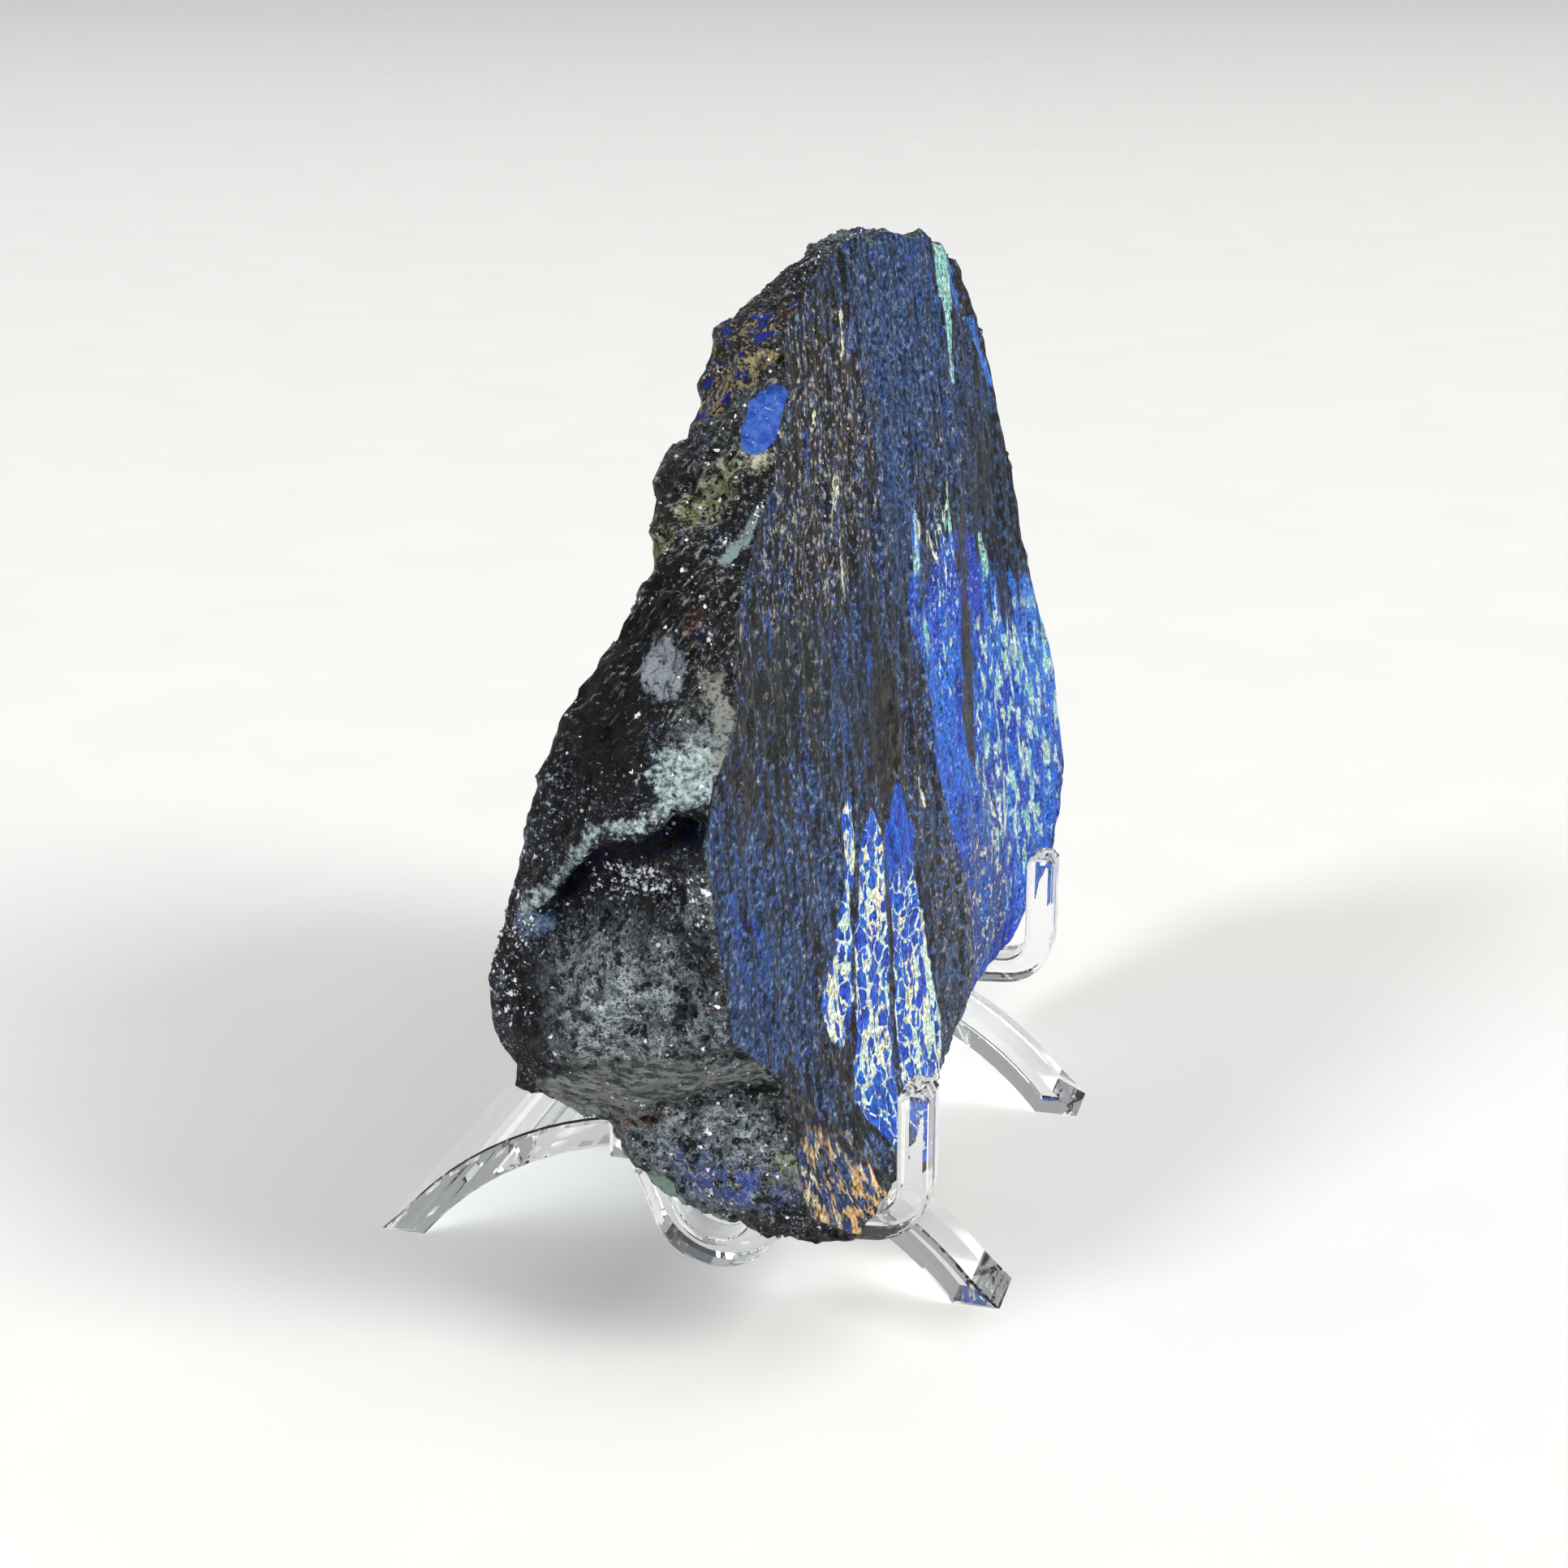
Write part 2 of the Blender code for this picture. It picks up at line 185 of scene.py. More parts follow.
def box_shell(cells_x, cells_y, cells_z):
    """The grid points on the skin of a subdivided box, and the quads that join them, facing out."""
    places = {}
    quads = []

    def corner(i, j, k):
        return places.setdefault((i, j, k), len(places))

    def patch(ring, outward):
        quads.append([corner(*place) for place in (ring if outward else ring[::-1])])

    for i in range(cells_x):
        for k in range(cells_z):
            for j in (0, cells_y):
                patch([(i, j, k), (i + 1, j, k), (i + 1, j, k + 1), (i, j, k + 1)], j == 0)
    front = len(quads)
    for j in range(cells_y):
        for k in range(cells_z):
            for i in (0, cells_x):
                patch([(i, j, k), (i, j + 1, k), (i, j + 1, k + 1), (i, j, k + 1)], i != 0)
    for i in range(cells_x):
        for j in range(cells_y):
            for k in (0, cells_z):
                patch([(i, j, k), (i + 1, j, k), (i + 1, j + 1, k), (i, j + 1, k)], k != 0)
    return list(places), quads, front


def distance_to(line, across, up):
    """How far each point lies from an open line, in millimetres."""
    nearest = np.full(across.shape, np.inf)
    for (ax, ay), (bx, by) in zip(line, line[1:]):
        dx, dy = bx - ax, by - ay
        t = np.clip(((across - ax) * dx + (up - ay) * dy) / (dx * dx + dy * dy), 0.0, 1.0)
        nearest = np.minimum(nearest, np.hypot(across - ax - t * dx, up - ay - t * dy))
    return nearest


def depth_in(outline, across, up):
    """How far inside a closed outline each point lies, in millimetres. Outside it is negative."""
    closed = outline + outline[:1]
    inside = np.zeros(across.shape, bool)
    for (ax, ay), (bx, by) in zip(closed, closed[1:]):
        inside ^= ((ay > up) != (by > up)) & (across < (bx - ax) * (up - ay) / (by - ay + 1e-12) + ax)
    nearest = distance_to(closed, across, up)
    return np.where(inside, nearest, -nearest)


def depth_along(line, half_width, across, up):
    """The same for a band along an open line."""
    return half_width - distance_to(line, across, up)


def depth_in_oval(centre, half_width, half_height, lean, across, up):
    """The same for an oval whose top leans over by an angle in degrees."""
    turn = math.radians(lean)
    a = (across - centre[0]) * math.cos(turn) - (up - centre[1]) * math.sin(turn)
    b = (across - centre[0]) * math.sin(turn) + (up - centre[1]) * math.cos(turn)
    return (1.0 - np.hypot(a / half_width, b / half_height)) * min(half_width, half_height)


def ramp(low, high, values):
    """The same as smooth, for a whole array."""
    t = np.clip((values - low) / (high - low), 0.0, 1.0)
    return t * t * (3.0 - 2.0 * t)


def add_object(name, data):
    made = bpy.data.objects.new(name, data)
    bpy.context.scene.collection.objects.link(made)
    return made


grid, quads, face_and_back = box_shell(*CELLS)
grid = np.array(grid, float)
U, W, V = (grid / np.array(CELLS, float)).T
base = np.array([slab_point(u, v, w) for u, v, w in zip(U, V, W)])

slab_mesh = bpy.data.meshes.new("azurite_slab")
slab_mesh.from_pydata(base.tolist(), [], quads)
normals = np.empty(len(base) * 3)
slab_mesh.vertex_normals.foreach_get("vector", normals)
normals = normals.reshape(-1, 3)

X, Y, Z = base.T
on_face = W == 0.0
side_share = ramp(0.0, 0.04, W) * (1.0 - ramp(0.0, 0.06, U))

# Places on the rough side, as (y, z).
TEAL_VEIN = [(-10.2, 52.0), (-7.0, 51.4), (-4.8, 49.6), (-1.7, 48.8), (0.2, 46.6), (2.8, 44.0), (5.6, 41.0)]
TEAL_PATCH = [
    (-10.2, 54.0), (-8.5, 54.6), (-5.2, 54.4), (-4.6, 52.6), (-6.2, 51.0), (-8.0, 50.6), (-10.4, 51.2),
]
CREVICE = [
    (-10.2, 50.8), (-7.2, 50.2), (-4.7, 48.6), (-1.2, 47.8), (1.0, 45.4), (3.4, 42.4), (2.6, 41.4),
    (0.2, 43.6), (-2.0, 45.6), (-4.6, 46.4), (-7.4, 47.6), (-10.0, 48.6),
]
GLINT_ZONE = [
    (-9.0, 47.6), (-4.4, 46.2), (-1.5, 45.2), (0.8, 43.6), (0.0, 41.6), (-3.0, 42.6), (-6.5, 44.2),
]
BLUE_OVAL = [
    (-8.0, 78.5), (-8.7, 78.2), (-9.1, 77.4), (-9.2, 75.9), (-9.0, 74.7), (-8.3, 73.5), (-7.6, 73.3),
    (-6.7, 73.8), (-6.2, 74.9), (-6.5, 76.4), (-7.1, 77.6),
]
OLIVE_HIGH = [
    (-6.3, 73.2), (-4.8, 72.0), (-3.2, 70.5), (-2.2, 69.0), (-3.6, 68.2), (-5.0, 68.8), (-6.1, 70.3),
    (-6.7, 71.9),
]
OLIVE_LOW = [(0.8, 66.2), (-1.6, 67.6), (-2.9, 67.9), (-2.0, 66.2), (-0.5, 64.6), (0.8, 63.6)]
LEDGE = [
    (6.0, 25.6), (0.0, 28.6), (-6.0, 31.0), (-13.6, 30.0), (-13.8, 26.6), (-8.0, 27.2), (-1.0, 23.6),
    (4.0, 20.6),
]


def relief(index):
    """How far the worked skin stands out from the main form at a point."""
    place = Vector(base[index])
    fan = place.x / (1.0 + (60.0 - place.z) / 200.0)
    ridges = 0.16 * noise.noise(Vector((fan * 1.1, 0.0, place.z * 0.14)))
    ridges += 0.12 * noise.noise(Vector((fan * 2.6, 7.0, place.z * 0.40)))
    if on_face[index]:
        return ridges
    lumps = 0.70 * noise.fractal(place * 0.24, 0.9, 2.1, 3)
    crests = 0.42 * (0.6 - 2.0 * abs(noise.noise(place * 0.55)))
    grains = 0.30 * noise.fractal(place * 1.3, 0.8, 2.1, 2)
    slant = Vector((place.x * 0.3, (place.y * 0.82 + place.z * 0.58) * 0.85,
                    (place.z * 0.82 - place.y * 0.58) * 0.13))
    grain_lines = 0.45 * noise.fractal(slant, 0.9, 2.0, 2) * smooth(54.0, 62.0, place.z)
    broken = lumps + crests + grains + grain_lines
    broken *= 1.0 - 0.45 * smooth(0.8, 1.0, W[index])
    broken *= 1.0 - 0.6 * smooth(0.955, 0.99, V[index])
    return mix(ridges, broken, smooth(0.0, 0.035, W[index]))


lift = np.array([relief(index) for index in range(len(base))])
crevice = ramp(-0.1, 0.8, depth_in(CREVICE, Y, Z)) * side_share
shelf = ramp(-0.6, 0.8, depth_along(TEAL_VEIN, 1.1, Y, Z)) * side_share
ledge = ramp(-0.4, 0.6, depth_in(LEDGE, Y, Z)) * side_share
hollow = ramp(-0.3, 0.6, np.maximum(depth_in(OLIVE_HIGH, Y, Z), depth_in(OLIVE_LOW, Y, Z))) * side_share
shelf_out = ramp(73.4, 72.4, Z) * ramp(64.8, 65.6, Z) * ramp(0.5, 0.8, W) * side_share
lift = lift * (1.0 - 0.75 * ledge) - 1.7 * crevice + 0.5 * shelf - 0.7 * hollow + 0.7 * shelf_out
oval = depth_in(BLUE_OVAL, Y, Z)
oval = np.where((X < -15.0) & (W > 0.0) & (W < 0.7) & (U < 0.06), oval, -9.0)
lift = lift * (1.0 - 0.85 * ramp(-0.1, 0.3, oval)) + 0.15 * ramp(-0.1, 0.3, oval)

points = base + normals * lift[:, None]
low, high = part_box("slab")
low = np.array(low) / MM - STAND_CENTRE + BOX_GAP
high = np.array(high) / MM - STAND_CENTRE - BOX_GAP
points = np.clip(points, low, high)
by_arms = np.abs(points[:, 0]) < ARM_ZONE_X
by_lips = by_arms & (points[:, 2] < LIP_ZONE_Z)
points[by_lips, 1] = np.maximum(points[by_lips, 1], LIP_INNER_Y + REST_GAP)
by_risers = by_arms & (W > 0.5)
points[by_risers, 1] = np.minimum(points[by_risers, 1], riser_front(points[by_risers, 2]) - REST_GAP)
floor = np.array([underside_z(x, y) for x, y in points[:, :2]])
points[:, 2] = np.maximum(points[:, 2], np.where(V < 0.3, floor, 0.0))

slab_mesh.vertices.foreach_set("co", ((points + STAND_CENTRE) * MM).ravel())
slab = add_object("azurite_slab", slab_mesh)
material_of = np.ones(len(quads), np.int32)
material_of[:face_and_back:2] = 0
slab_mesh.polygons.foreach_set("material_index", material_of)
slab_mesh.polygons.foreach_set("use_smooth", np.ones(len(quads), bool))

# Markings on the split face, as (x, z). A point with no share in one counts as far outside it.
FAR_OUTSIDE = -50.0
COBALT = [
    (3.1, 52.8), (4.9, 47.0), (4.2, 41.9), (4.9, 37.9), (7.1, 33.3), (9.5, 28.6), (11.0, 24.0),
    (12.0, 17.8), (14.0, 8.0), (60.0, 8.0), (60.0, 47.0), (40.0, 49.3), (35.3, 49.4), (31.7, 51.5),
    (27.2, 53.3), (23.0, 54.2), (21.2, 57.0), (17.4, 58.6), (13.0, 59.1), (10.0, 57.2), (6.6, 54.2),
]
BLUE_STREAK = [(5.4, 62.1), (2.3, 54.8), (4.6, 53.0), (5.3, 57.5), (6.9, 61.8)]
FINGER_A = [
    (-16.9, 43.3), (-19.6, 42.5), (-20.3, 39.1), (-22.4, 35.3), (-25.4, 31.5), (-28.3, 31.1), (-29.3, 28.9),
    (-29.2, 26.4), (-26.5, 24.2), (-23.9, 25.8), (-22.6, 27.1), (-22.4, 29.8), (-21.0, 33.0), (-18.6, 37.6),
]
FINGER_B = [
    (-12.9, 40.9), (-14.7, 40.0), (-16.6, 37.3), (-18.4, 33.9), (-20.5, 30.4), (-22.2, 27.1), (-23.6, 23.3),
    (-26.7, 19.5), (-21.0, 12.5), (-17.8, 14.0), (-15.2, 19.9), (-14.2, 23.0), (-13.2, 26.8), (-12.6, 30.3),
    (-11.7, 34.8), (-11.3, 38.4),
]
FINGER_C = [
    (-5.6, 41.1), (-7.7, 40.2), (-9.5, 37.4), (-10.0, 33.8), (-10.9, 29.4), (-12.1, 25.0), (-13.3, 20.6),
    (-15.3, 16.7), (-15.5, 11.0), (-4.5, 10.0), (-1.0, 14.7), (-1.8, 19.0), (-2.0, 22.2), (-2.5, 25.3),
    (-2.9, 29.0), (-3.3, 32.8), (-2.2, 35.4), (-4.4, 38.4),
]
OLIVE_STRIPE = [
    (17.0, 62.0), (16.4, 52.0), (15.2, 46.4), (14.7, 41.3), (14.5, 36.9), (16.3, 36.3), (18.6, 45.2),
    (19.4, 50.9), (20.4, 62.0),
]
DARK_FAR = [
    (28.1, 65.8), (30.2, 59.8), (26.2, 53.5), (28.1, 47.4), (29.9, 46.1), (33.8, 49.3), (37.6, 50.1),
    (44.0, 52.0), (40.0, 66.0), (34.0, 72.0),
]
BROWN_BAND = [
    (-0.4, 39.5), (-2.8, 34.2), (-0.6, 24.9), (0.3, 8.0), (13.0, 8.0), (12.0, 17.8), (9.9, 25.2),
    (6.0, 33.7), (3.3, 38.4),
]
BLACK_WEDGE = [(-7.2, 51.1), (-8.8, 42.1), (-5.4, 41.8), (-3.0, 46.3)]
TAN_FOOT = [
    (-39.6, 20.4), (-37.0, 21.4), (-34.6, 20.2), (-31.4, 17.6), (-28.4, 14.6), (-27.6, 10.0), (-46.0, 10.0),
]
CRACK = [(-38.4, 25.4), (-34.7, 22.4), (-30.0, 18.2), (-26.2, 14.4)]
UNDER_CRACK = CRACK + [(-24.0, 8.0), (-50.0, 8.0), (-44.0, 25.4)]
WHITE_NET = [(8.2, 61.6), (15.6, 62.0), (15.6, 52.1), (13.2, 47.0), (12.6, 41.0), (8.0, 46.0), (8.4, 52.8)]
CREAM_STROKES = [
    [(-6.5, 81.7), (-8.3, 78.2)], [(-15.9, 75.0), (-16.2, 73.9)], [(-13.5, 69.1), (-14.2, 66.7)],
    [(-12.3, 69.3), (-12.9, 67.9)], [(-13.5, 64.2), (-13.7, 61.0)], [(-0.1, 39.6), (0.9, 36.8)],
    [(9.6, 59.6), (10.4, 57.0)], [(7.0, 61.6), (6.4, 59.8)],
]
BLUE_STROKES = [
    [(-12.9, 68.0), (-13.6, 65.6)], [(-44.0, 43.5), (-43.8, 39.0), (-43.0, 36.6)],
    [(-40.9, 41.4), (-40.0, 38.6)], [(-30.5, 62.0), (-30.9, 58.5)], [(-18.0, 74.0), (-18.6, 70.5)],
    [(-9.5, 54.0), (-10.0, 51.0)], [(29.4, 70.6), (28.4, 68.4)],
]
MINT_STROKES = [
    [(15.9, 62.6), (15.0, 59.3)], [(4.9, 53.3), (6.8, 50.4)], [(5.8, 61.4), (4.7, 57.6)],
    [(20.8, 75.4), (21.3, 72.2)], [(-13.6, 61.2), (-13.8, 60.2)], [(24.8, 56.0), (25.2, 53.0)],
]
MINT_DRIP = [
    (18.6, 85.6), (19.4, 80.6), (20.4, 76.8), (21.2, 74.6), (22.4, 77.4), (23.4, 81.0), (21.6, 84.6),
]
SKY_STREAK = [[(27.6, 76.0), (32.0, 69.9)], [(22.6, 83.0), (24.6, 78.4)]]


def mark(name, values):
    """Keeps a value at each point of the slab, for its materials to read."""
    layer = slab_mesh.attributes.new(name, "FLOAT", "POINT")
    layer.data.foreach_set("value", np.asarray(values, np.float32))


def ovals(across, *given):
    """The sum of soft ovals. Each has its amount, its middle, and half its width and height."""
    total = 0.0
    for amount, middle_across, middle_up, half_width, half_height in given:
        far = np.hypot((across - middle_across) / half_width, (Z - middle_up) / half_height)
        total = total + amount * (1.0 - ramp(0.4, 1.3, far))
    return total


def strokes(lines, half_width):
    return np.maximum.reduce([depth_along(line, half_width, X, Z) for line in lines])


front_only = np.where(W < 0.02, 0.0, FAR_OUTSIDE)
blueness = 0.38 + ovals(
    X, (0.30, 9.0, 79.0, 13.0, 14.0), (0.34, 2.5, 62.0, 5.0, 11.0), (0.16, -14.0, 52.5, 8.0, 7.0),
    (0.20, -43.0, 39.0, 6.0, 13.0), (0.14, -32.0, 34.0, 16.0, 14.0), (0.20, 22.0, 66.0, 7.0, 12.0),
    (-0.16, -16.0, 71.0, 12.0, 13.0), (-0.40, -8.0, 47.0, 3.5, 10.0), (-0.30, 33.0, 59.0, 7.0, 11.0),
    (-0.12, -30.0, 55.0, 12.0, 8.0), (-0.15, -26.0, 24.0, 6.0, 8.0),
)
mark("blueness", blueness - 0.30 * ramp(-0.5, 1.0, depth_in(UNDER_CRACK, X, Z)))
mark("bark", 0.35 + ovals(
    X, (0.5, -15.0, 72.0, 15.0, 12.0), (0.3, -24.0, 60.0, 14.0, 9.0), (0.35, 8.0, 24.0, 7.0, 15.0),
    (-0.25, 9.0, 79.0, 13.0, 12.0), (-0.45, -12.0, 51.0, 9.0, 9.0), (-0.2, -40.0, 38.0, 9.0, 13.0),
))
mark("greyed", ovals(X, (1.0, 17.0, 22.0, 8.0, 15.0)))
mark("dusk", np.clip(ovals(
    X, (1.2, -11.0, 50.5, 6.0, 5.5), (1.0, -27.0, 56.0, 12.0, 6.0), (1.1, 28.0, 62.0, 9.0, 12.0),
    (0.6, 0.0, 56.0, 3.0, 14.0),
), 0.0, 1.0))
mark("cobalt", np.maximum(depth_in(COBALT, X, Z), depth_in(BLUE_STREAK, X, Z)))
mark("azure", ovals(X, (1.0, 44.0, 46.0, 12.0, 16.0), (0.6, 6.5, 43.0, 5.0, 10.0)))
mark("mint_share", 0.2 + ovals(X, (0.8, 31.0, 36.0, 17.0, 19.0), (-0.5, 10.0, 28.0, 6.0, 12.0)))
fingers = [depth_in(finger, X, Z) for finger in (FINGER_A, FINGER_B, FINGER_C)]
mark("fingers", np.maximum.reduce(fingers) + front_only)
network = np.where(fingers[2] > -0.6, ramp(36.0, 22.0, Z), 0.35 + 0.65 * ramp(40.0, 28.0, Z))
fades_low = (fingers[0] > -0.6) | (fingers[1] > -0.6)
mark("network", np.where(fades_low, network * (0.2 + 0.8 * ramp(16.0, 23.0, Z)), network))
mark("white_blotch", ovals(
    X, (0.9, -3.8, 19.0, 3.4, 6.5), (0.7, -20.0, 23.5, 3.6, 4.0), (0.5, -14.0, 34.0, 2.2, 6.0),
    (0.7, -18.6, 38.0, 1.6, 5.0), (0.7, -27.2, 28.5, 2.4, 2.8),
))
mark("olive_stripe", np.minimum(depth_in(OLIVE_STRIPE, X, Z), (60.0 - Z) * 0.12) + front_only)
mark("dark_far", depth_in(DARK_FAR, X, Z))
mark("brown_band", depth_in(BROWN_BAND, X, Z))
mark("black_wedge", depth_in(BLACK_WEDGE, X, Z))
mark("tan_foot", depth_in(TAN_FOOT, X, Z))
mark("crack", depth_along(CRACK, 0.17, X, Z) + front_only)
mark("white_net", depth_in(WHITE_NET, X, Z) + front_only)
mark("cream_strokes", strokes(CREAM_STROKES, 0.30) + front_only)
mark("blue_strokes", strokes(BLUE_STROKES, 0.34) + front_only)
mint = np.maximum(strokes(MINT_STROKES, 0.45), depth_in(MINT_DRIP, X, Z))
mark("mint_strokes", mint + front_only)
mark("sky_streak", strokes(SKY_STREAK, 0.6) + front_only)
mark("oval", oval)

# Markings on the rough side, as (y, z).
GOLD_PATCH = [
    (-0.4, 82.4), (-2.3, 83.0), (-5.3, 83.0), (-7.3, 83.4), (-8.6, 84.0), (-8.9, 83.0), (-7.8, 81.6),
    (-8.5, 80.5), (-7.4, 79.2), (-5.9, 77.7), (-4.2, 76.0), (-2.5, 74.4), (-1.2, 73.8), (0.4, 76.0),
]
GOLD_STREAK = [(-7.4, 80.2), (-5.4, 79.0), (-3.4, 77.2), (-2.0, 75.2)]
CREAM_CHIP = [(-6.9, 73.7), (-8.8, 73.4), (-8.8, 72.5), (-7.6, 72.3)]
WHITE_STREAK = [(-7.4, 66.9), (-8.6, 68.7), (-9.3, 69.6)]
PALE_EDGE = [(-8.0, 58.6), (-8.6, 57.0), (-9.6, 55.2), (-9.6, 53.6)]
MINT_LOW = [(-2.6, 16.0), (-5.4, 14.6), (-7.8, 13.6)]
OLIVE_BEAD = (-14.0, 19.3)
NEAR_EDGE_ASH = [(-10.6, 47.0), (-8.2, 46.4), (-7.6, 43.0), (-9.0, 40.6), (-11.4, 41.0)]
RUST_SPOTS = (
    (1.0, -6.0, 62.6, 0.7, 1.3), (0.8, -2.2, 23.4, 3.2, 1.3), (1.0, -10.8, 36.0, 0.6, 0.9),
    (1.0, -8.2, 83.6, 0.8, 0.7),
)
FAN_MIDDLE = (-4.2, 56.8)
FAN_LINES = 26.0

# The marks fade on the last few millimetres round the corner to the back.
past_corner = np.where(W == 1.0, U * 60.0, 0.0)
near = (U < 0.3) & (W > 0.0) & (past_corner < 4.0)
only_side = np.where(near, -past_corner, FAR_OUTSIDE)
mark("hidden", np.where(near, 0.0, 1.0))
for name, outline in (("teal", TEAL_PATCH), ("crevice", CREVICE), ("ledge", LEDGE), ("gold", GOLD_PATCH),
                      ("chip", CREAM_CHIP)):
    mark(name, only_side + depth_in(outline, Y, Z))
for name, line, half_width in (("vein", TEAL_VEIN, 0.28), ("gold_streak", GOLD_STREAK, 1.1),
                               ("mint_low", MINT_LOW, 0.8),
                               ("white_streak", WHITE_STREAK, 0.5), ("pale_edge", PALE_EDGE, 0.8)):
    mark(name, only_side + depth_along(line, half_width, Y, Z))
mark("sky_patch", only_side + depth_in_oval((4.9, 39.8), 1.5, 1.1, 0.0, Y, Z))
mark("dendrite", only_side + depth_in_oval((-3.9, 59.2), 1.9, 1.8, 0.0, Y, Z))
mark("fan_line", 0.5 + 0.5 * np.cos(FAN_LINES * np.arctan2(Z - FAN_MIDDLE[1], Y - FAN_MIDDLE[0])))
# The sparkle share sets how thickly the crystals and the painted glints lie.
sparkle_share = 0.13 + 0.87 * ramp(-0.6, 0.8, depth_in(GLINT_ZONE, Y, Z))
sparkle_share += ovals(Y, (0.45, 7.6, 36.0, 2.6, 7.0), (0.3, -9.4, 44.0, 2.0, 4.0),
                       (-0.2, -0.6, 56.0, 4.0, 5.5))
sparkle_share = np.clip(np.where(near, sparkle_share, 0.12), 0.0, 1.0)
mark("sparkle", sparkle_share)
olive = np.maximum(depth_in(OLIVE_HIGH, Y, Z), depth_in(OLIVE_LOW, Y, Z))
mark("olive", only_side + np.maximum(olive, depth_in_oval(OLIVE_BEAD, 1.3, 1.1, 0.0, Y, Z)))
black_zone = ovals(
    Y, (1.3, -0.2, 56.5, 4.4, 6.5), (1.0, -2.0, 64.5, 5.0, 3.5), (1.0, -10.0, 50.0, 1.2, 4.5),
    (0.8, -1.0, 70.0, 1.6, 3.0), (0.6, 3.0, 43.0, 2.0, 2.0), (0.5, 5.0, 33.0, 3.0, 7.0),
)
mark("black_zone", np.clip(near * black_zone, 0.0, 1.0))
mist = 0.8 * ramp(-0.5, 0.8, depth_in(NEAR_EDGE_ASH, Y, Z)) + ovals(
    Y, (0.95, -3.6, 33.5, 7.5, 8.0), (1.1, -7.5, 20.5, 7.5, 5.5), (0.55, -8.0, 54.0, 2.6, 5.0),
    (0.3, -3.0, 78.0, 6.0, 4.0), (0.35, 1.0, 72.0, 2.6, 2.6),
)
mark("mist", np.where(near, mist, 0.25))
mark("blue_low",
     near * np.maximum(ovals(Y, (1.0, -9.8, 18.2, 5.4, 2.3)), ovals(Y, (0.8, -6.4, 20.0, 2.4, 2.4))))
mark("rust", near * np.maximum.reduce([ovals(Y, spot) for spot in RUST_SPOTS]))
mark("slanted", near * ramp(52.0, 60.0, Z))


FLOAT = "NodeSocketFloat"
VECTOR = "NodeSocketVector"


def node(tree, kind, inputs=None, **settings):
    """Adds a node. An input takes a plain value or another node's output."""
    made = tree.nodes.new("ShaderNode" + kind)
    for name, value in settings.items():
        setattr(made, name, value)
    for name, value in (inputs or {}).items():
        socket = made.inputs[name]
        if isinstance(value, bpy.types.NodeSocket):
            tree.links.new(value, socket)
        else:
            socket.default_value = value
    return made


def paint(tree, under, over, mask):
    """Lays one colour over another where the mask is 1."""
    made = node(tree, "Mix", {0: mask, 6: under, 7: over}, data_type="RGBA")
    return made.outputs[2]


def work_out(tree, operation, *values):
    return node(tree, "Math", dict(enumerate(values)), operation=operation).outputs[0]


def spread(tree, value, low, high, to_low=0.0, to_high=1.0):
    given = {"Value": value, "From Min": low, "From Max": high, "To Min": to_low, "To Max": to_high}
    return node(tree, "MapRange", given, interpolation_type="SMOOTHSTEP").outputs[0]


def rgb(red, green, blue):
    return (red, green, blue, 1.0)


def new_group(name, inputs, outputs):
    tree = bpy.data.node_groups.new(name, "ShaderNodeTree")
    for label, kind, value in inputs:
        socket = tree.interface.new_socket(name=label, in_out="INPUT", socket_type=kind)
        if value is not None:
            socket.default_value = value
    for label, kind in outputs:
        tree.interface.new_socket(name=label, in_out="OUTPUT", socket_type=kind)
    return tree, tree.nodes.new("NodeGroupInput"), tree.nodes.new("NodeGroupOutput")


# Where a point of the stone lies, in millimetres. Fan follows the fibres, which spread towards the
# foot. Slant follows the broken fibre ends of the upper rough side, which run down to the back.
stone_place, _, out = new_group("stone_place", [], [("Place", VECTOR), ("Fan", VECTOR), ("Slant", VECTOR)])
coordinate = node(stone_place, "TexCoord").outputs["Object"]
in_mm = node(stone_place, "VectorMath", {0: coordinate, "Scale": 1000.0}, operation="SCALE").outputs[0]
parts = node(stone_place, "SeparateXYZ", {0: in_mm})
widening = work_out(stone_place, "MULTIPLY_ADD", parts.outputs["Z"], -0.005, 1.3)
fanned = work_out(stone_place, "DIVIDE", parts.outputs["X"], widening)
joined = node(stone_place, "CombineXYZ", {"X": fanned, "Y": parts.outputs["Y"], "Z": parts.outputs["Z"]})
turned = node(stone_place, "VectorRotate", {"Vector": in_mm, "Angle": math.radians(-36.0)},
              rotation_type="X_AXIS")
stone_place.links.new(in_mm, out.inputs["Place"])
stone_place.links.new(joined.outputs[0], out.inputs["Fan"])
stone_place.links.new(turned.outputs[0], out.inputs["Slant"])

# Noise stretched along the fibres, as a value and as a mask between two levels of it.
streaks, into, out = new_group(
    "streaks",
    [("Place", VECTOR, None), ("Across", FLOAT, 1.0), ("Along", FLOAT, 0.1), ("Seed", FLOAT, 0.0),
     ("Low", FLOAT, 0.45), ("High", FLOAT, 0.6), ("Detail", FLOAT, 3.0)],
    [("Mask", FLOAT), ("Value", FLOAT)],
)
given = {"X": into.outputs["Across"], "Y": into.outputs["Across"], "Z": into.outputs["Along"]}
stretch = node(streaks, "CombineXYZ", given)
stretched = node(streaks, "VectorMath", {0: into.outputs["Place"], 1: stretch.outputs[0]},
                 operation="MULTIPLY")
given = {"Vector": stretched.outputs[0], "W": into.outputs["Seed"], "Scale": 1.0,
         "Detail": into.outputs["Detail"],
         "Roughness": 0.62}
cloud = node(streaks, "TexNoise", given, noise_dimensions="4D")
streaks.links.new(spread(streaks, cloud.outputs[0], into.outputs["Low"], into.outputs["High"]),
                  out.inputs["Mask"])
streaks.links.new(cloud.outputs[0], out.inputs["Value"])

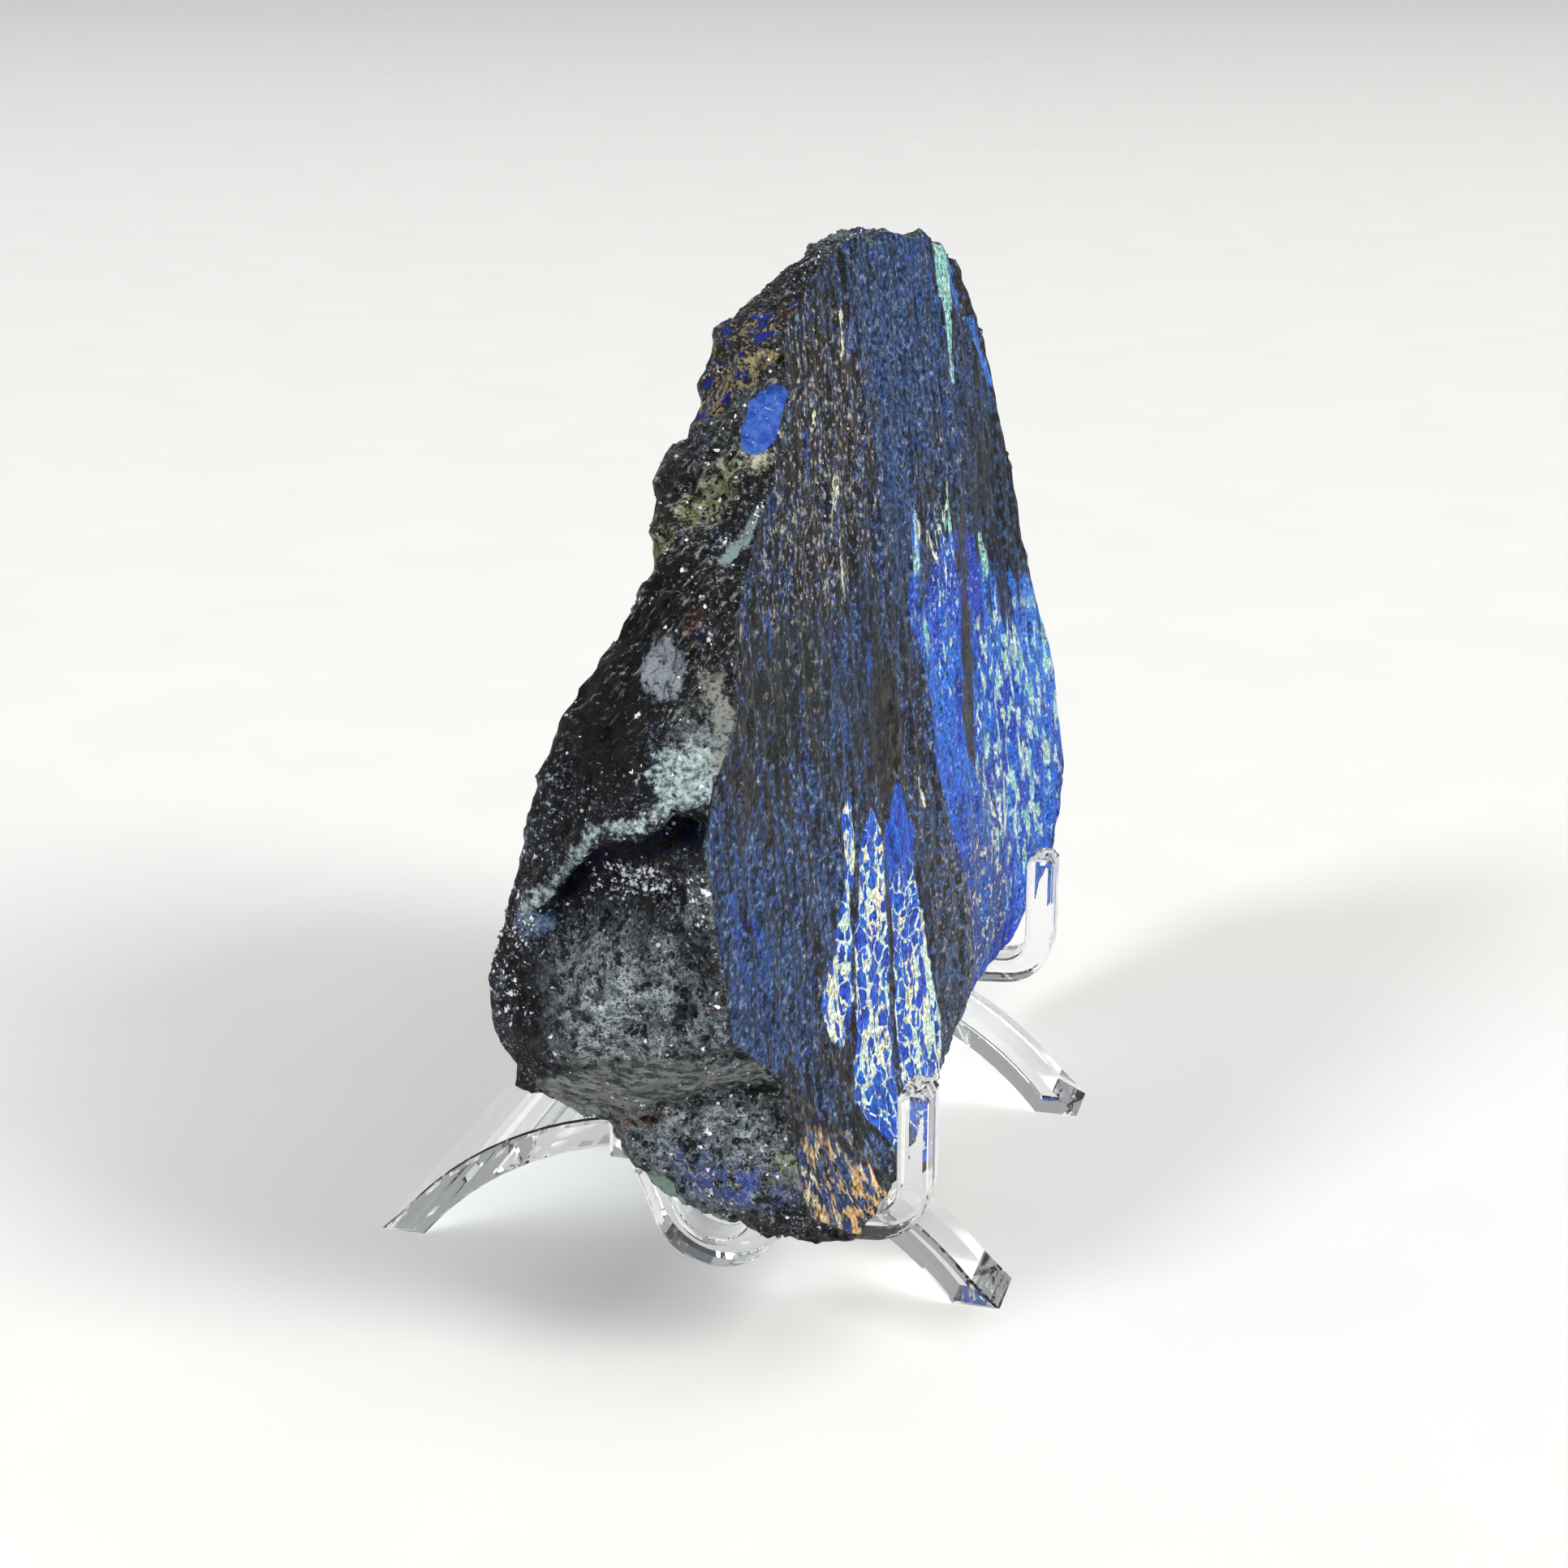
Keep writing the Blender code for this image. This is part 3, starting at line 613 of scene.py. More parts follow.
# A patch whose edge is tattered by noise, from how deep inside its outline a point lies.
ragged, into, out = new_group(
    "ragged_patch",
    [("Depth", FLOAT, 0.0), ("Tatter", FLOAT, 0.5), ("Reach", FLOAT, 1.0), ("Softness", FLOAT, 0.2)],
    [("Mask", FLOAT)],
)
shifted = work_out(ragged, "SUBTRACT", into.outputs["Tatter"], 0.5)
shifted = work_out(ragged, "MULTIPLY_ADD", shifted, into.outputs["Reach"], into.outputs["Depth"])
below = work_out(ragged, "MULTIPLY", into.outputs["Softness"], -1.0)
ragged.links.new(spread(ragged, shifted, below, into.outputs["Softness"]), out.inputs["Mask"])

# Round specks, of which a share is shown.
specks, into, out = new_group(
    "specks",
    [("Place", VECTOR, None), ("Per mm", FLOAT, 1.0), ("Share", FLOAT, 0.2), ("Size", FLOAT, 0.3),
     ("Seed", FLOAT, 0.0)],
    [("Mask", FLOAT)],
)
given = {"Vector": into.outputs["Place"], "W": into.outputs["Seed"], "Scale": into.outputs["Per mm"]}
spots = node(specks, "TexVoronoi", given, voronoi_dimensions="4D")
random_of = node(specks, "SeparateXYZ", {0: spots.outputs["Color"]})
chosen = work_out(specks, "LESS_THAN", random_of.outputs["X"], into.outputs["Share"])
edge = work_out(specks, "MULTIPLY", into.outputs["Size"], 0.6)
round_spot = spread(specks, spots.outputs["Distance"], into.outputs["Size"], edge)
specks.links.new(work_out(specks, "MULTIPLY", chosen, round_spot), out.inputs["Mask"])


def use_group(tree, kind, output, **given):
    """Adds a node group. An underscore in a name stands for a space."""
    values = {label.replace("_", " "): value for label, value in given.items()}
    return node(tree, "Group", values, node_tree=kind).outputs[output]


class Finish:
    """A material of the stone, built up by laying colour over colour. Its noise follows one of the
    places that the group stone_place gives."""

    def __init__(self, name, place):
        self.material = bpy.data.materials.new(name)
        self.material.use_nodes = True
        self.tree = self.material.node_tree
        self.shader = self.tree.nodes["Principled BSDF"]
        self.places = node(self.tree, "Group", node_tree=stone_place).outputs
        self.place = self.places[place]
        self.color = None

    def read(self, name):
        return node(self.tree, "Attribute", attribute_name=name).outputs["Fac"]

    def mask(self, across, along, seed, low, high, detail=3.0):
        return use_group(self.tree, streaks, "Mask", Place=self.place, Across=across, Along=along,
                         Seed=seed,
                         Low=low, High=high, Detail=detail)

    def value(self, across, along, seed, detail=3.0, at=None):
        return use_group(self.tree, streaks, "Value", Place=at or self.place, Across=across, Along=along,
                         Seed=seed, Detail=detail)

    def patch(self, name, tatter, reach, softness):
        return use_group(self.tree, ragged, "Mask", Depth=self.read(name), Tatter=tatter, Reach=reach,
                         Softness=softness)

    def specks(self, per_mm, share, size, seed):
        return use_group(self.tree, specks, "Mask", Place=self.place, Per_mm=per_mm, Share=share, Size=size,
                         Seed=seed)

    def mixed(self, under, over, mask):
        return paint(self.tree, under, over, mask)

    def lay(self, over, mask, share=None):
        if share is not None:
            mask = self.times(mask, share)
        self.color = paint(self.tree, self.color, over, mask)

    def times(self, a, b):
        return work_out(self.tree, "MULTIPLY", a, b)

    def plus(self, a, b):
        return work_out(self.tree, "ADD", a, b)

    def spread(self, value, low, high, to_low=0.0, to_high=1.0):
        return spread(self.tree, value, low, high, to_low, to_high)

    def threads(self, value, width, strength):
        """Thin lines where noise crosses its middle."""
        off_middle = work_out(self.tree, "ABSOLUTE", work_out(self.tree, "SUBTRACT", value, 0.5))
        return self.spread(off_middle, width, 0.0, 0.0, strength)


# The colours of the split face, laid from the dark fibres up to the thin strokes. Noise is given by
# its grain across and along the fibres, in cells per millimetre, and by a seed of its own.
BLACK = rgb(0.006, 0.006, 0.007)
DARK_BROWN = rgb(0.019, 0.017, 0.015)
GREY_TAN = rgb(0.32, 0.295, 0.26)
SLATE = rgb(0.036, 0.077, 0.178)
NAVY = rgb(0.009, 0.020, 0.070)
COBALT_BLUE = rgb(0.020, 0.120, 0.54)
AZURE = rgb(0.040, 0.170, 0.60)
ROYAL_BLUE = rgb(0.020, 0.050, 0.40)
DEEP_BLUE = rgb(0.004, 0.010, 0.075)
PALE_MINT = rgb(0.50, 0.66, 0.58)
CREAM = rgb(0.66, 0.66, 0.48)
MINT = rgb(0.20, 0.48, 0.42)
TAN = rgb(0.44, 0.27, 0.12)
OLIVE = rgb(0.030, 0.030, 0.018)

face = Finish("split_face", "Fan")
wide = face.mask(0.35, 0.035, 1.0, 0.42, 0.60)
medium = face.value(0.8, 0.17, 2.0)
fine = face.value(1.4, 0.9, 3.0)
grain = face.value(2.6, 2.8, 4.0, detail=2.0)
tatter = face.value(0.8, 0.16, 5.0)
long_tatter = face.value(0.45, 0.06, 24.0)
flecks = face.value(1.7, 1.9, 22.0)
face.color = face.mixed(BLACK, DARK_BROWN, wide)
face.lay(rgb(0.052, 0.048, 0.044), face.spread(fine, 0.45, 0.62))
blue_level = face.plus(face.read("blueness"), face.spread(medium, 0.25, 0.75, -0.34, 0.34))
blue_level = face.plus(blue_level, face.spread(fine, 0.25, 0.75, -0.34, 0.34))
face.lay(face.mixed(NAVY, SLATE, face.spread(flecks, 0.38, 0.58)), face.spread(blue_level, 0.24, 0.60))
face.lay(rgb(0.19, 0.25, 0.36), face.spread(flecks, 0.55, 0.65),
         face.spread(blue_level, 0.20, 0.80, 0.1, 0.8))
face.lay(rgb(0.012, 0.062, 0.21), face.mask(0.30, 0.035, 26.0, 0.50, 0.62),
         face.spread(blue_level, 0.35, 0.90, 0.0, 0.65))
bark_level = face.plus(face.read("bark"), face.spread(fine, 0.25, 0.75, -0.8, 0.8))
tan_specks = face.times(face.spread(bark_level, 0.56, 1.0), face.mask(1.6, 1.5, 6.0, 0.50, 0.60))
face.lay(GREY_TAN, tan_specks)
face.lay(ROYAL_BLUE, face.mask(1.5, 1.0, 7.0, 0.59, 0.65),
         face.spread(face.read("blueness"), 0.1, 0.7, 0.3, 0.85))
face.lay(rgb(0.58, 0.56, 0.50), face.mask(2.0, 1.5, 8.0, 0.63, 0.68),
         face.spread(face.read("bark"), 0.2, 0.8, 0.25, 0.9))
face.lay(rgb(0.035, 0.10, 0.13), face.mask(1.3, 0.6, 23.0, 0.60, 0.68), 0.6)
face.lay(BLACK, face.mask(1.2, 0.07, 9.0, 0.58, 0.64), 0.7)
face.lay(BLACK, face.spread(flecks, 0.46, 0.35), 0.9)
face.lay(rgb(0.012, 0.018, 0.020), face.read("dusk"), face.spread(medium, 0.30, 0.62, 0.70, 0.35))

face.lay(face.mixed(BLACK, rgb(0.050, 0.046, 0.030), face.spread(fine, 0.46, 0.60)),
         face.patch("black_wedge", tatter, 3.0, 0.8), 0.85)
cobalt = face.mixed(COBALT_BLUE, ROYAL_BLUE, face.mask(0.35, 0.10, 10.0, 0.42, 0.6))
cobalt = face.mixed(cobalt, AZURE,
                    face.times(face.read("azure"), face.spread(medium, 0.33, 0.58, 0.4, 1.0)))
cobalt = face.mixed(cobalt, DEEP_BLUE, face.times(face.mask(0.9, 0.40, 11.0, 0.52, 0.66), 0.7))
cobalt = face.mixed(cobalt, rgb(0.22, 0.34, 0.58), face.spread(flecks, 0.55, 0.67, 0.0, 0.8))
cobalt = face.mixed(cobalt, DEEP_BLUE, face.spread(flecks, 0.44, 0.34, 0.0, 0.9))
cobalt = face.mixed(cobalt, rgb(0.060, 0.085, 0.17),
                    face.times(face.read("greyed"), face.spread(medium, 0.36, 0.60, 0.2, 0.8)))
face.lay(cobalt, face.patch("cobalt", tatter, 6.0, 0.5))
mint_share = face.spread(face.read("mint_share"), 0.0, 1.0, -0.12, 0.05)
mint_level = face.plus(face.value(0.85, 0.40, 12.0, detail=2.0), mint_share)
mint = face.mixed(MINT, PALE_MINT, face.mask(0.5, 0.3, 13.0, 0.40, 0.56))
face.lay(mint, face.spread(mint_level, 0.54, 0.63, 0.0, 0.85), face.spread(face.read("cobalt"), 0.5, 4.0))

cell_place = node(face.tree, "VectorMath", {0: face.place, 1: (0.66, 0.66, 0.60)},
                  operation="MULTIPLY").outputs[0]
warp = node(face.tree, "CombineXYZ", {"X": face.spread(fine, 0.3, 0.7, -0.14, 0.14),
                                                "Z": face.spread(medium, 0.3, 0.7, -0.16, 0.16)}).outputs[0]
cell_place = node(face.tree, "VectorMath", {0: cell_place, 1: warp}, operation="ADD").outputs[0]
cells = node(face.tree, "TexVoronoi", {"Vector": cell_place, "Scale": 1.0}, feature="DISTANCE_TO_EDGE")
cell_edge = cells.outputs["Distance"]
net_width = face.times(face.read("network"), face.spread(medium, 0.38, 0.62, -0.01, 0.13))
net_width = face.plus(net_width,
                      face.times(face.read("white_blotch"), face.spread(medium, 0.44, 0.58, -0.02, 0.40)))
net = node(face.tree, "MapRange",
           {"Value": cell_edge, "From Min": net_width, "From Max": face.plus(net_width, 0.04),
           "To Min": 1.0, "To Max": 0.0}).outputs[0]
finger = face.mixed(ROYAL_BLUE, COBALT_BLUE, face.mask(1.1, 0.3, 14.0, 0.4, 0.6))
finger = face.mixed(finger, DEEP_BLUE, face.times(face.mask(1.6, 0.5, 15.0, 0.50, 0.62), 0.6))
finger = face.mixed(finger, rgb(0.12, 0.20, 0.48), face.spread(flecks, 0.58, 0.68, 0.0, 0.7))
net_color = face.mixed(PALE_MINT, CREAM, face.mask(0.4, 0.2, 16.0, 0.42, 0.6))
finger = face.mixed(finger, net_color, face.times(net, face.spread(face.read("network"), 0.02, 0.2)))
face.lay(finger, face.patch("fingers", tatter, 1.4, 0.15))
net_inside = face.patch("white_net", tatter, 2.0, 0.6)
face.lay(PALE_MINT, face.times(face.mask(1.5, 0.7, 17.0, 0.57, 0.61, detail=2.0), net_inside), 0.9)
band = face.mixed(DARK_BROWN, SLATE, face.spread(fine, 0.42, 0.55))
band = face.mixed(band, rgb(0.32, 0.25, 0.17),
                  face.times(face.spread(flecks, 0.53, 0.61), face.spread(medium, 0.38, 0.56)))
face.lay(band, face.patch("brown_band", tatter, 8.0, 1.2), 0.72)
face.lay(rgb(0.46, 0.42, 0.34), face.mask(1.3, 0.9, 25.0, 0.56, 0.61), face.read("greyed"))
face.lay(face.mixed(OLIVE, rgb(0.07, 0.065, 0.04), face.spread(fine, 0.5, 0.62)),
         face.patch("olive_stripe", tatter, 5.0, 0.5), 0.92)
dark_far = face.mixed(BLACK, SLATE, face.spread(fine, 0.46, 0.62, 0.0, 0.9))
face.lay(dark_far, face.patch("dark_far", long_tatter, 26.0, 0.7), 0.9)
foot = face.mixed(rgb(0.020, 0.032, 0.085), rgb(0.05, 0.09, 0.20), face.spread(flecks, 0.45, 0.6))
foot = face.mixed(foot, TAN, face.mask(1.1, 0.36, 19.0, 0.49, 0.56))
foot = face.mixed(foot, rgb(0.42, 0.40, 0.24), face.mask(1.5, 0.5, 20.0, 0.55, 0.61))
foot = face.mixed(foot, DARK_BROWN, face.mask(1.6, 0.6, 21.0, 0.54, 0.62))
face.lay(foot, face.patch("tan_foot", tatter, 4.0, 0.5))
face.lay(rgb(0.14, 0.12, 0.10), face.patch("crack", fine, 0.5, 0.12), 0.6)
face.lay(rgb(0.020, 0.060, 0.30), face.patch("blue_strokes", fine, 2.4, 0.2), 0.85)
face.lay(AZURE, face.patch("sky_streak", fine, 3.0, 0.4), 0.7)
mint = face.mixed(MINT, PALE_MINT, face.spread(fine, 0.46, 0.60))
mint = face.mixed(mint, rgb(0.04, 0.10, 0.20), face.spread(flecks, 0.46, 0.36))
face.lay(mint, face.patch("mint_strokes", medium, 6.5, 0.35), 0.9)
face.lay(CREAM, face.patch("cream_strokes", fine, 2.2, 0.15), 0.85)
shade = face.spread(grain, 0.30, 0.70, 0.35, 1.6)
shaded = node(face.tree, "VectorMath", {0: face.color, "Scale": shade}, operation="SCALE")
face.tree.links.new(shaded.outputs[0], face.shader.inputs["Base Color"])
face.tree.links.new(face.spread(grain, 0.3, 0.7, 0.42, 0.70), face.shader.inputs["Roughness"])
face.shader.inputs["Specular IOR Level"].default_value = 0.15
height = face.plus(face.times(fine, 0.7), face.times(grain, 0.5))
bump = node(face.tree, "Bump", {"Strength": 0.8, "Distance": 0.0004, "Height": height})
face.tree.links.new(bump.outputs[0], face.shader.inputs["Normal"])

# The colours of the broken skin, laid from the nearly black ground up to the painted glints and the blue
# oval.
CHARCOAL = rgb(0.010, 0.010, 0.013)
ASH = rgb(0.060, 0.066, 0.076)
PALE_ASH = rgb(0.42, 0.47, 0.50)
MIST = rgb(0.19, 0.235, 0.25)
TEAL = rgb(0.40, 0.53, 0.54)
SKY = rgb(0.11, 0.21, 0.46)
GOLD = rgb(0.36, 0.28, 0.13)
YELLOW_GREEN = rgb(0.27, 0.28, 0.12)
RUST = rgb(0.25, 0.09, 0.03)
GLINT_WHITE = rgb(0.86, 0.86, 0.88)

skin = Finish("broken_skin", "Place")
coarse = skin.value(0.33, 0.33, 31.0, detail=4.0)
middle = skin.value(1.1, 1.1, 32.0, detail=5.0)
fine = skin.value(3.6, 3.6, 33.0)
lace = skin.value(1.9, 1.9, 42.0, detail=6.0)
slanted = skin.value(2.4, 0.5, 34.0, at=skin.places["Slant"])
skin.color = skin.mixed(CHARCOAL, ASH, skin.spread(middle, 0.46, 0.66, 0.0, 0.8))
skin.lay(BLACK, skin.spread(lace, 0.50, 0.41), 0.95)
skin.lay(DEEP_BLUE, skin.spread(coarse, 0.52, 0.62, 0.0, 0.7), skin.spread(fine, 0.40, 0.55))
speck_level = skin.plus(fine, skin.spread(lace, 0.3, 0.7, -0.14, 0.14))
speck_level = skin.plus(speck_level, skin.spread(coarse, 0.3, 0.7, -0.06, 0.06))
skin.lay(PALE_ASH, skin.spread(speck_level, 0.60, 0.67), 0.85)
hidden = skin.read("hidden")
far_blue = skin.mixed(DEEP_BLUE, rgb(0.014, 0.045, 0.20), skin.spread(lace, 0.42, 0.58))
skin.lay(far_blue, skin.times(hidden, skin.mask(0.11, 0.11, 43.0, 0.49, 0.60, detail=5.0)), 0.85)
far_green = skin.mixed(rgb(0.020, 0.060, 0.045), rgb(0.10, 0.26, 0.19), skin.spread(lace, 0.42, 0.60))
skin.lay(far_green, skin.times(hidden, skin.mask(0.14, 0.14, 44.0, 0.57, 0.64, detail=5.0)), 0.8)
mist = skin.times(skin.read("mist"), skin.spread(coarse, 0.36, 0.58, 0.45, 1.35))
skin.lay(MIST, skin.times(mist, skin.spread(middle, 0.40, 0.62, 0.05, 0.85)))
broad_web = skin.threads(skin.value(0.62, 0.62, 35.0, detail=5.0), 0.035, 0.9)
thin_web = skin.threads(skin.value(1.3, 1.3, 45.0, detail=4.0), 0.030, 0.8)
web = work_out(skin.tree, "MAXIMUM", broad_web, skin.times(thin_web, skin.spread(middle, 0.40, 0.58)))
skin.lay(rgb(0.60, 0.67, 0.69), skin.times(mist, web))
skin.lay(BLACK, skin.spread(middle, 0.47, 0.40), 0.6)
skin.lay(BLACK, skin.read("black_zone"), skin.spread(coarse, 0.30, 0.50, 0.80, 0.98))
slant_color = skin.mixed(rgb(0.026, 0.030, 0.020), rgb(0.42, 0.42, 0.38), skin.spread(slanted, 0.57, 0.67))
skin.lay(slant_color, skin.times(skin.read("slanted"), skin.spread(slanted, 0.50, 0.60)), 0.8)
ledge = skin.mixed(rgb(0.050, 0.054, 0.058), rgb(0.34, 0.41, 0.41), skin.mask(0.7, 1.7, 36.0, 0.40, 0.60))
ledge = skin.mixed(ledge, rgb(0.36, 0.33, 0.28), skin.spread(coarse, 0.50, 0.62, 0.0, 0.6))
ledge = skin.mixed(ledge, BLACK, skin.spread(lace, 0.46, 0.38, 0.0, 0.8))
skin.lay(ledge, skin.patch("ledge", lace, 3.0, 0.5), 0.9)
# Painted shade: the crevice below the teal lip is laid nearly black, where shade falls into the recess.
crevice_shade = skin.mixed(BLACK, rgb(0.004, 0.007, 0.04), skin.spread(middle, 0.42, 0.6))
skin.lay(crevice_shade, skin.patch("crevice", lace, 1.2, 0.25), 0.97)
teal = skin.mixed(rgb(0.14, 0.20, 0.22), TEAL, skin.spread(fine, 0.36, 0.50))
teal = skin.mixed(teal, rgb(0.68, 0.80, 0.81), skin.spread(lace, 0.47, 0.60))
skin.lay(teal, skin.patch("teal", middle, 7.0, 0.5), skin.spread(lace, 0.40, 0.50, 0.15, 1.0))
skin.lay(teal, skin.patch("vein", lace, 2.6, 0.3), 0.9)
skin.lay(skin.mixed(SKY, TEAL, skin.spread(fine, 0.46, 0.62)), skin.patch("sky_patch", lace, 3.0, 0.4), 0.9)
gold_level = skin.plus(skin.times(skin.patch("gold_streak", middle, 3.0, 0.8), 0.5),
                       skin.spread(fine, 0.3, 0.7, -0.7, 0.7))
gold_level = skin.plus(gold_level, skin.spread(lace, 0.35, 0.65, -0.5, 0.6))
gold = skin.mixed(rgb(0.022, 0.020, 0.024), GOLD, skin.spread(gold_level, 0.05, 0.75))
gold = skin.mixed(gold, rgb(0.46, 0.38, 0.20), skin.spread(gold_level, 0.55, 1.1))
gold = skin.mixed(gold, rgb(0.016, 0.030, 0.26), skin.mask(0.9, 0.9, 37.0, 0.52, 0.58))
gold = skin.mixed(gold, rgb(0.16, 0.34, 0.33), skin.mask(1.6, 1.6, 38.0, 0.62, 0.68))
skin.lay(gold, skin.patch("gold", middle, 3.0, 0.5))
olive = skin.mixed(YELLOW_GREEN, rgb(0.42, 0.45, 0.34), skin.spread(middle, 0.46, 0.60))
olive = skin.mixed(olive, CHARCOAL, skin.spread(lace, 0.50, 0.42))
skin.lay(olive, skin.patch("olive", middle, 7.0, 0.7), 0.9)
fan_line = skin.read("fan_line")
dendrite = skin.mixed(rgb(0.34, 0.38, 0.43), CHARCOAL, skin.spread(fan_line, 0.70, 1.0, 0.0, 0.8))
skin.lay(dendrite, skin.patch("dendrite", middle, 3.0, 0.25), skin.spread(lace, 0.36, 0.48, 0.1, 0.95))
skin.lay(CREAM, skin.patch("chip", fine, 1.6, 0.3), skin.spread(lace, 0.40, 0.54, 0.1, 1.0))
skin.lay(TEAL, skin.patch("white_streak", lace, 2.0, 0.2), 0.75)
skin.lay(rgb(0.36, 0.37, 0.34), skin.patch("pale_edge", middle, 4.4, 0.4),
         skin.spread(lace, 0.40, 0.52, 0.05, 0.9))
low_blue = skin.mixed(rgb(0.016, 0.034, 0.26), rgb(0.12, 0.19, 0.50), skin.spread(fine, 0.46, 0.60))
skin.lay(low_blue, skin.times(skin.read("blue_low"), skin.spread(middle, 0.45, 0.54)),
         skin.spread(fine, 0.34, 0.5, 0.4, 1.0))
skin.lay(rgb(0.34, 0.50, 0.42), skin.patch("mint_low", lace, 3.0, 0.4), 0.8)
skin.lay(RUST, skin.times(skin.read("rust"), skin.spread(lace, 0.48, 0.62)), 0.85)
# Painted glints: white specks laid into the base colour stand for light caught by tiny crystal faces.
sparkle = skin.times(skin.read("sparkle"), skin.spread(coarse, 0.44, 0.58, 0.3, 1.7))
small_painted_glint = skin.specks(2.9, skin.times(sparkle, 0.15), 0.38, 39.0)
big_painted_glint = skin.specks(1.5, skin.times(sparkle, 0.24), 0.34, 40.0)
painted_glints = work_out(skin.tree, "MAXIMUM", small_painted_glint, big_painted_glint)
skin.lay(GLINT_WHITE, painted_glints, 0.95)
oval_color = skin.mixed(rgb(0.025, 0.085, 0.50), rgb(0.08, 0.20, 0.66), skin.spread(middle, 0.40, 0.6))
oval_color = skin.mixed(oval_color, rgb(0.42, 0.62, 0.80), skin.mask(2.2, 1.6, 41.0, 0.60, 0.68))
skin.lay(oval_color, skin.patch("oval", middle, 0.5, 0.10))
skin.tree.links.new(skin.color, skin.shader.inputs["Base Color"])
skin.shader.inputs["Specular IOR Level"].default_value = 0.2
roughness = skin.spread(fine, 0.35, 0.65, 0.20, 0.60)
roughness = work_out(skin.tree, "MULTIPLY_ADD", painted_glints, -0.15, roughness)
skin.tree.links.new(roughness, skin.shader.inputs["Roughness"])
height = skin.plus(middle, skin.plus(skin.times(lace, 0.7), skin.times(fine, 0.3)))
bump = node(skin.tree, "Bump", {"Strength": 1.0, "Distance": 0.0012, "Height": height})
skin.tree.links.new(bump.outputs[0], skin.shader.inputs["Normal"])

slab_mesh.materials.append(face.material)
slab_mesh.materials.append(skin.material)
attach(slab, "root")
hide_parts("slab")

# The crystals. Tiny glassy azurite crystals grown all over the broken skin, thickest just below the
# crevice.
# Most are nearly black. Some have a white base colour, a painted glint standing for a face turned to the
# light.
CRYSTALS = 6400
CRYSTAL_SIZE = (0.10, 0.30)
SUNK_SHARE = 0.55
SIDE_STEP = 0.25
OCTAHEDRON = [(1, 0, 0), (-1, 0, 0), (0, 1, 0), (0, -1, 0), (0, 0, 1), (0, 0, -1)]
OCTAHEDRON_FACES = [(0, 2, 4), (2, 1, 4), (1, 3, 4), (3, 0, 4), (2, 0, 5), (1, 2, 5), (3, 1, 5), (0, 3, 5)]
chance = random.Random(11)
normals_now = np.empty(len(points) * 3)
slab_mesh.vertex_normals.foreach_get("vector", normals_now)
normals_now = normals_now.reshape(-1, 3)
weight = np.where(near & (W > 0.02), 0.11 + 1.5 * sparkle_share ** 1.5, np.where(W > 0.3, 0.06, 0.0))
weight *= np.where(Z > 76.0, 0.5, 1.0)
weight *= np.array([math.exp(4.0 * noise.noise(Vector(place) * 0.35)) for place in points])
weight[(V <= 0.02) | (ramp(-0.2, 0.2, oval) > 0.0)] = 0.0
order = np.cumsum(weight)
crystal_points = []
crystal_faces = []
painted_glint = []
for _ in range(CRYSTALS):
    seat = int(np.searchsorted(order, chance.random() * order[-1]))
    angle = chance.uniform(0.0, math.tau)
    turn = Matrix.Rotation(angle, 3, Vector([chance.gauss(0, 1) for _ in range(3)]).normalized())
    size = mix(*CRYSTAL_SIZE, chance.random() ** 1.6) * (1.0 + 0.35 * sparkle_share[seat])
    outward = Vector(normals_now[seat])
    aside = Vector([chance.uniform(-SIDE_STEP, SIDE_STEP) for _ in range(3)])
    middle_point = Vector(points[seat]) + aside - outward * (aside.dot(outward) + size * SUNK_SHARE)
    first = len(crystal_points)
    stretch_by = Vector((1.0, chance.uniform(0.6, 1.0), chance.uniform(1.0, 1.5)))
    for corner in OCTAHEDRON:
        offset = Vector([c * s * size for c, s in zip(corner, stretch_by)])
        crystal_points.append(middle_point + turn @ offset)
    crystal_faces += [tuple(first + c for c in triangle) for triangle in OCTAHEDRON_FACES]
    # A share of the crystals is marked for a white base colour, a painted glint, more where the sparkle
    # share is high.
    painted_glint_level = 1.0 if chance.random() < 0.08 + 0.7 * sparkle_share[seat] else chance.random() * 0.4
    painted_glint += [painted_glint_level] * len(OCTAHEDRON)
crystal_points = np.clip(np.array(crystal_points), low, high)
crystal_mesh = bpy.data.meshes.new("azurite_crystals")
crystal_mesh.from_pydata(((crystal_points + STAND_CENTRE) * MM).tolist(), [], crystal_faces)
crystal_mesh.attributes.new("painted_glint", "FLOAT", "POINT").data.foreach_set("value", painted_glint)
crystals = add_object("azurite_crystals", crystal_mesh)

glassy = Finish("crystal_glass", "Place")
# Crystals marked bright get a white base colour: a painted glint.
tone = glassy.mixed(rgb(0.016, 0.018, 0.03), rgb(0.09, 0.10, 0.13), glassy.value(0.9, 0.9, 51.0))
painted_glint_color = glassy.mixed(rgb(0.55, 0.58, 0.64), GLINT_WHITE, glassy.mask(1.4, 1.4, 52.0, 0.4, 0.6))
painted_glint_level = glassy.spread(glassy.read("painted_glint"), 0.5, 0.9)
glassy.tree.links.new(glassy.mixed(tone, painted_glint_color, painted_glint_level), glassy.shader.inputs["Base Color"])
glassy.tree.links.new(glassy.value(2.0, 2.0, 53.0), glassy.shader.inputs["Roughness"])
glassy.shader.inputs["IOR"].default_value = 1.7
crystal_mesh.materials.append(glassy.material)
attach(crystals, "root")

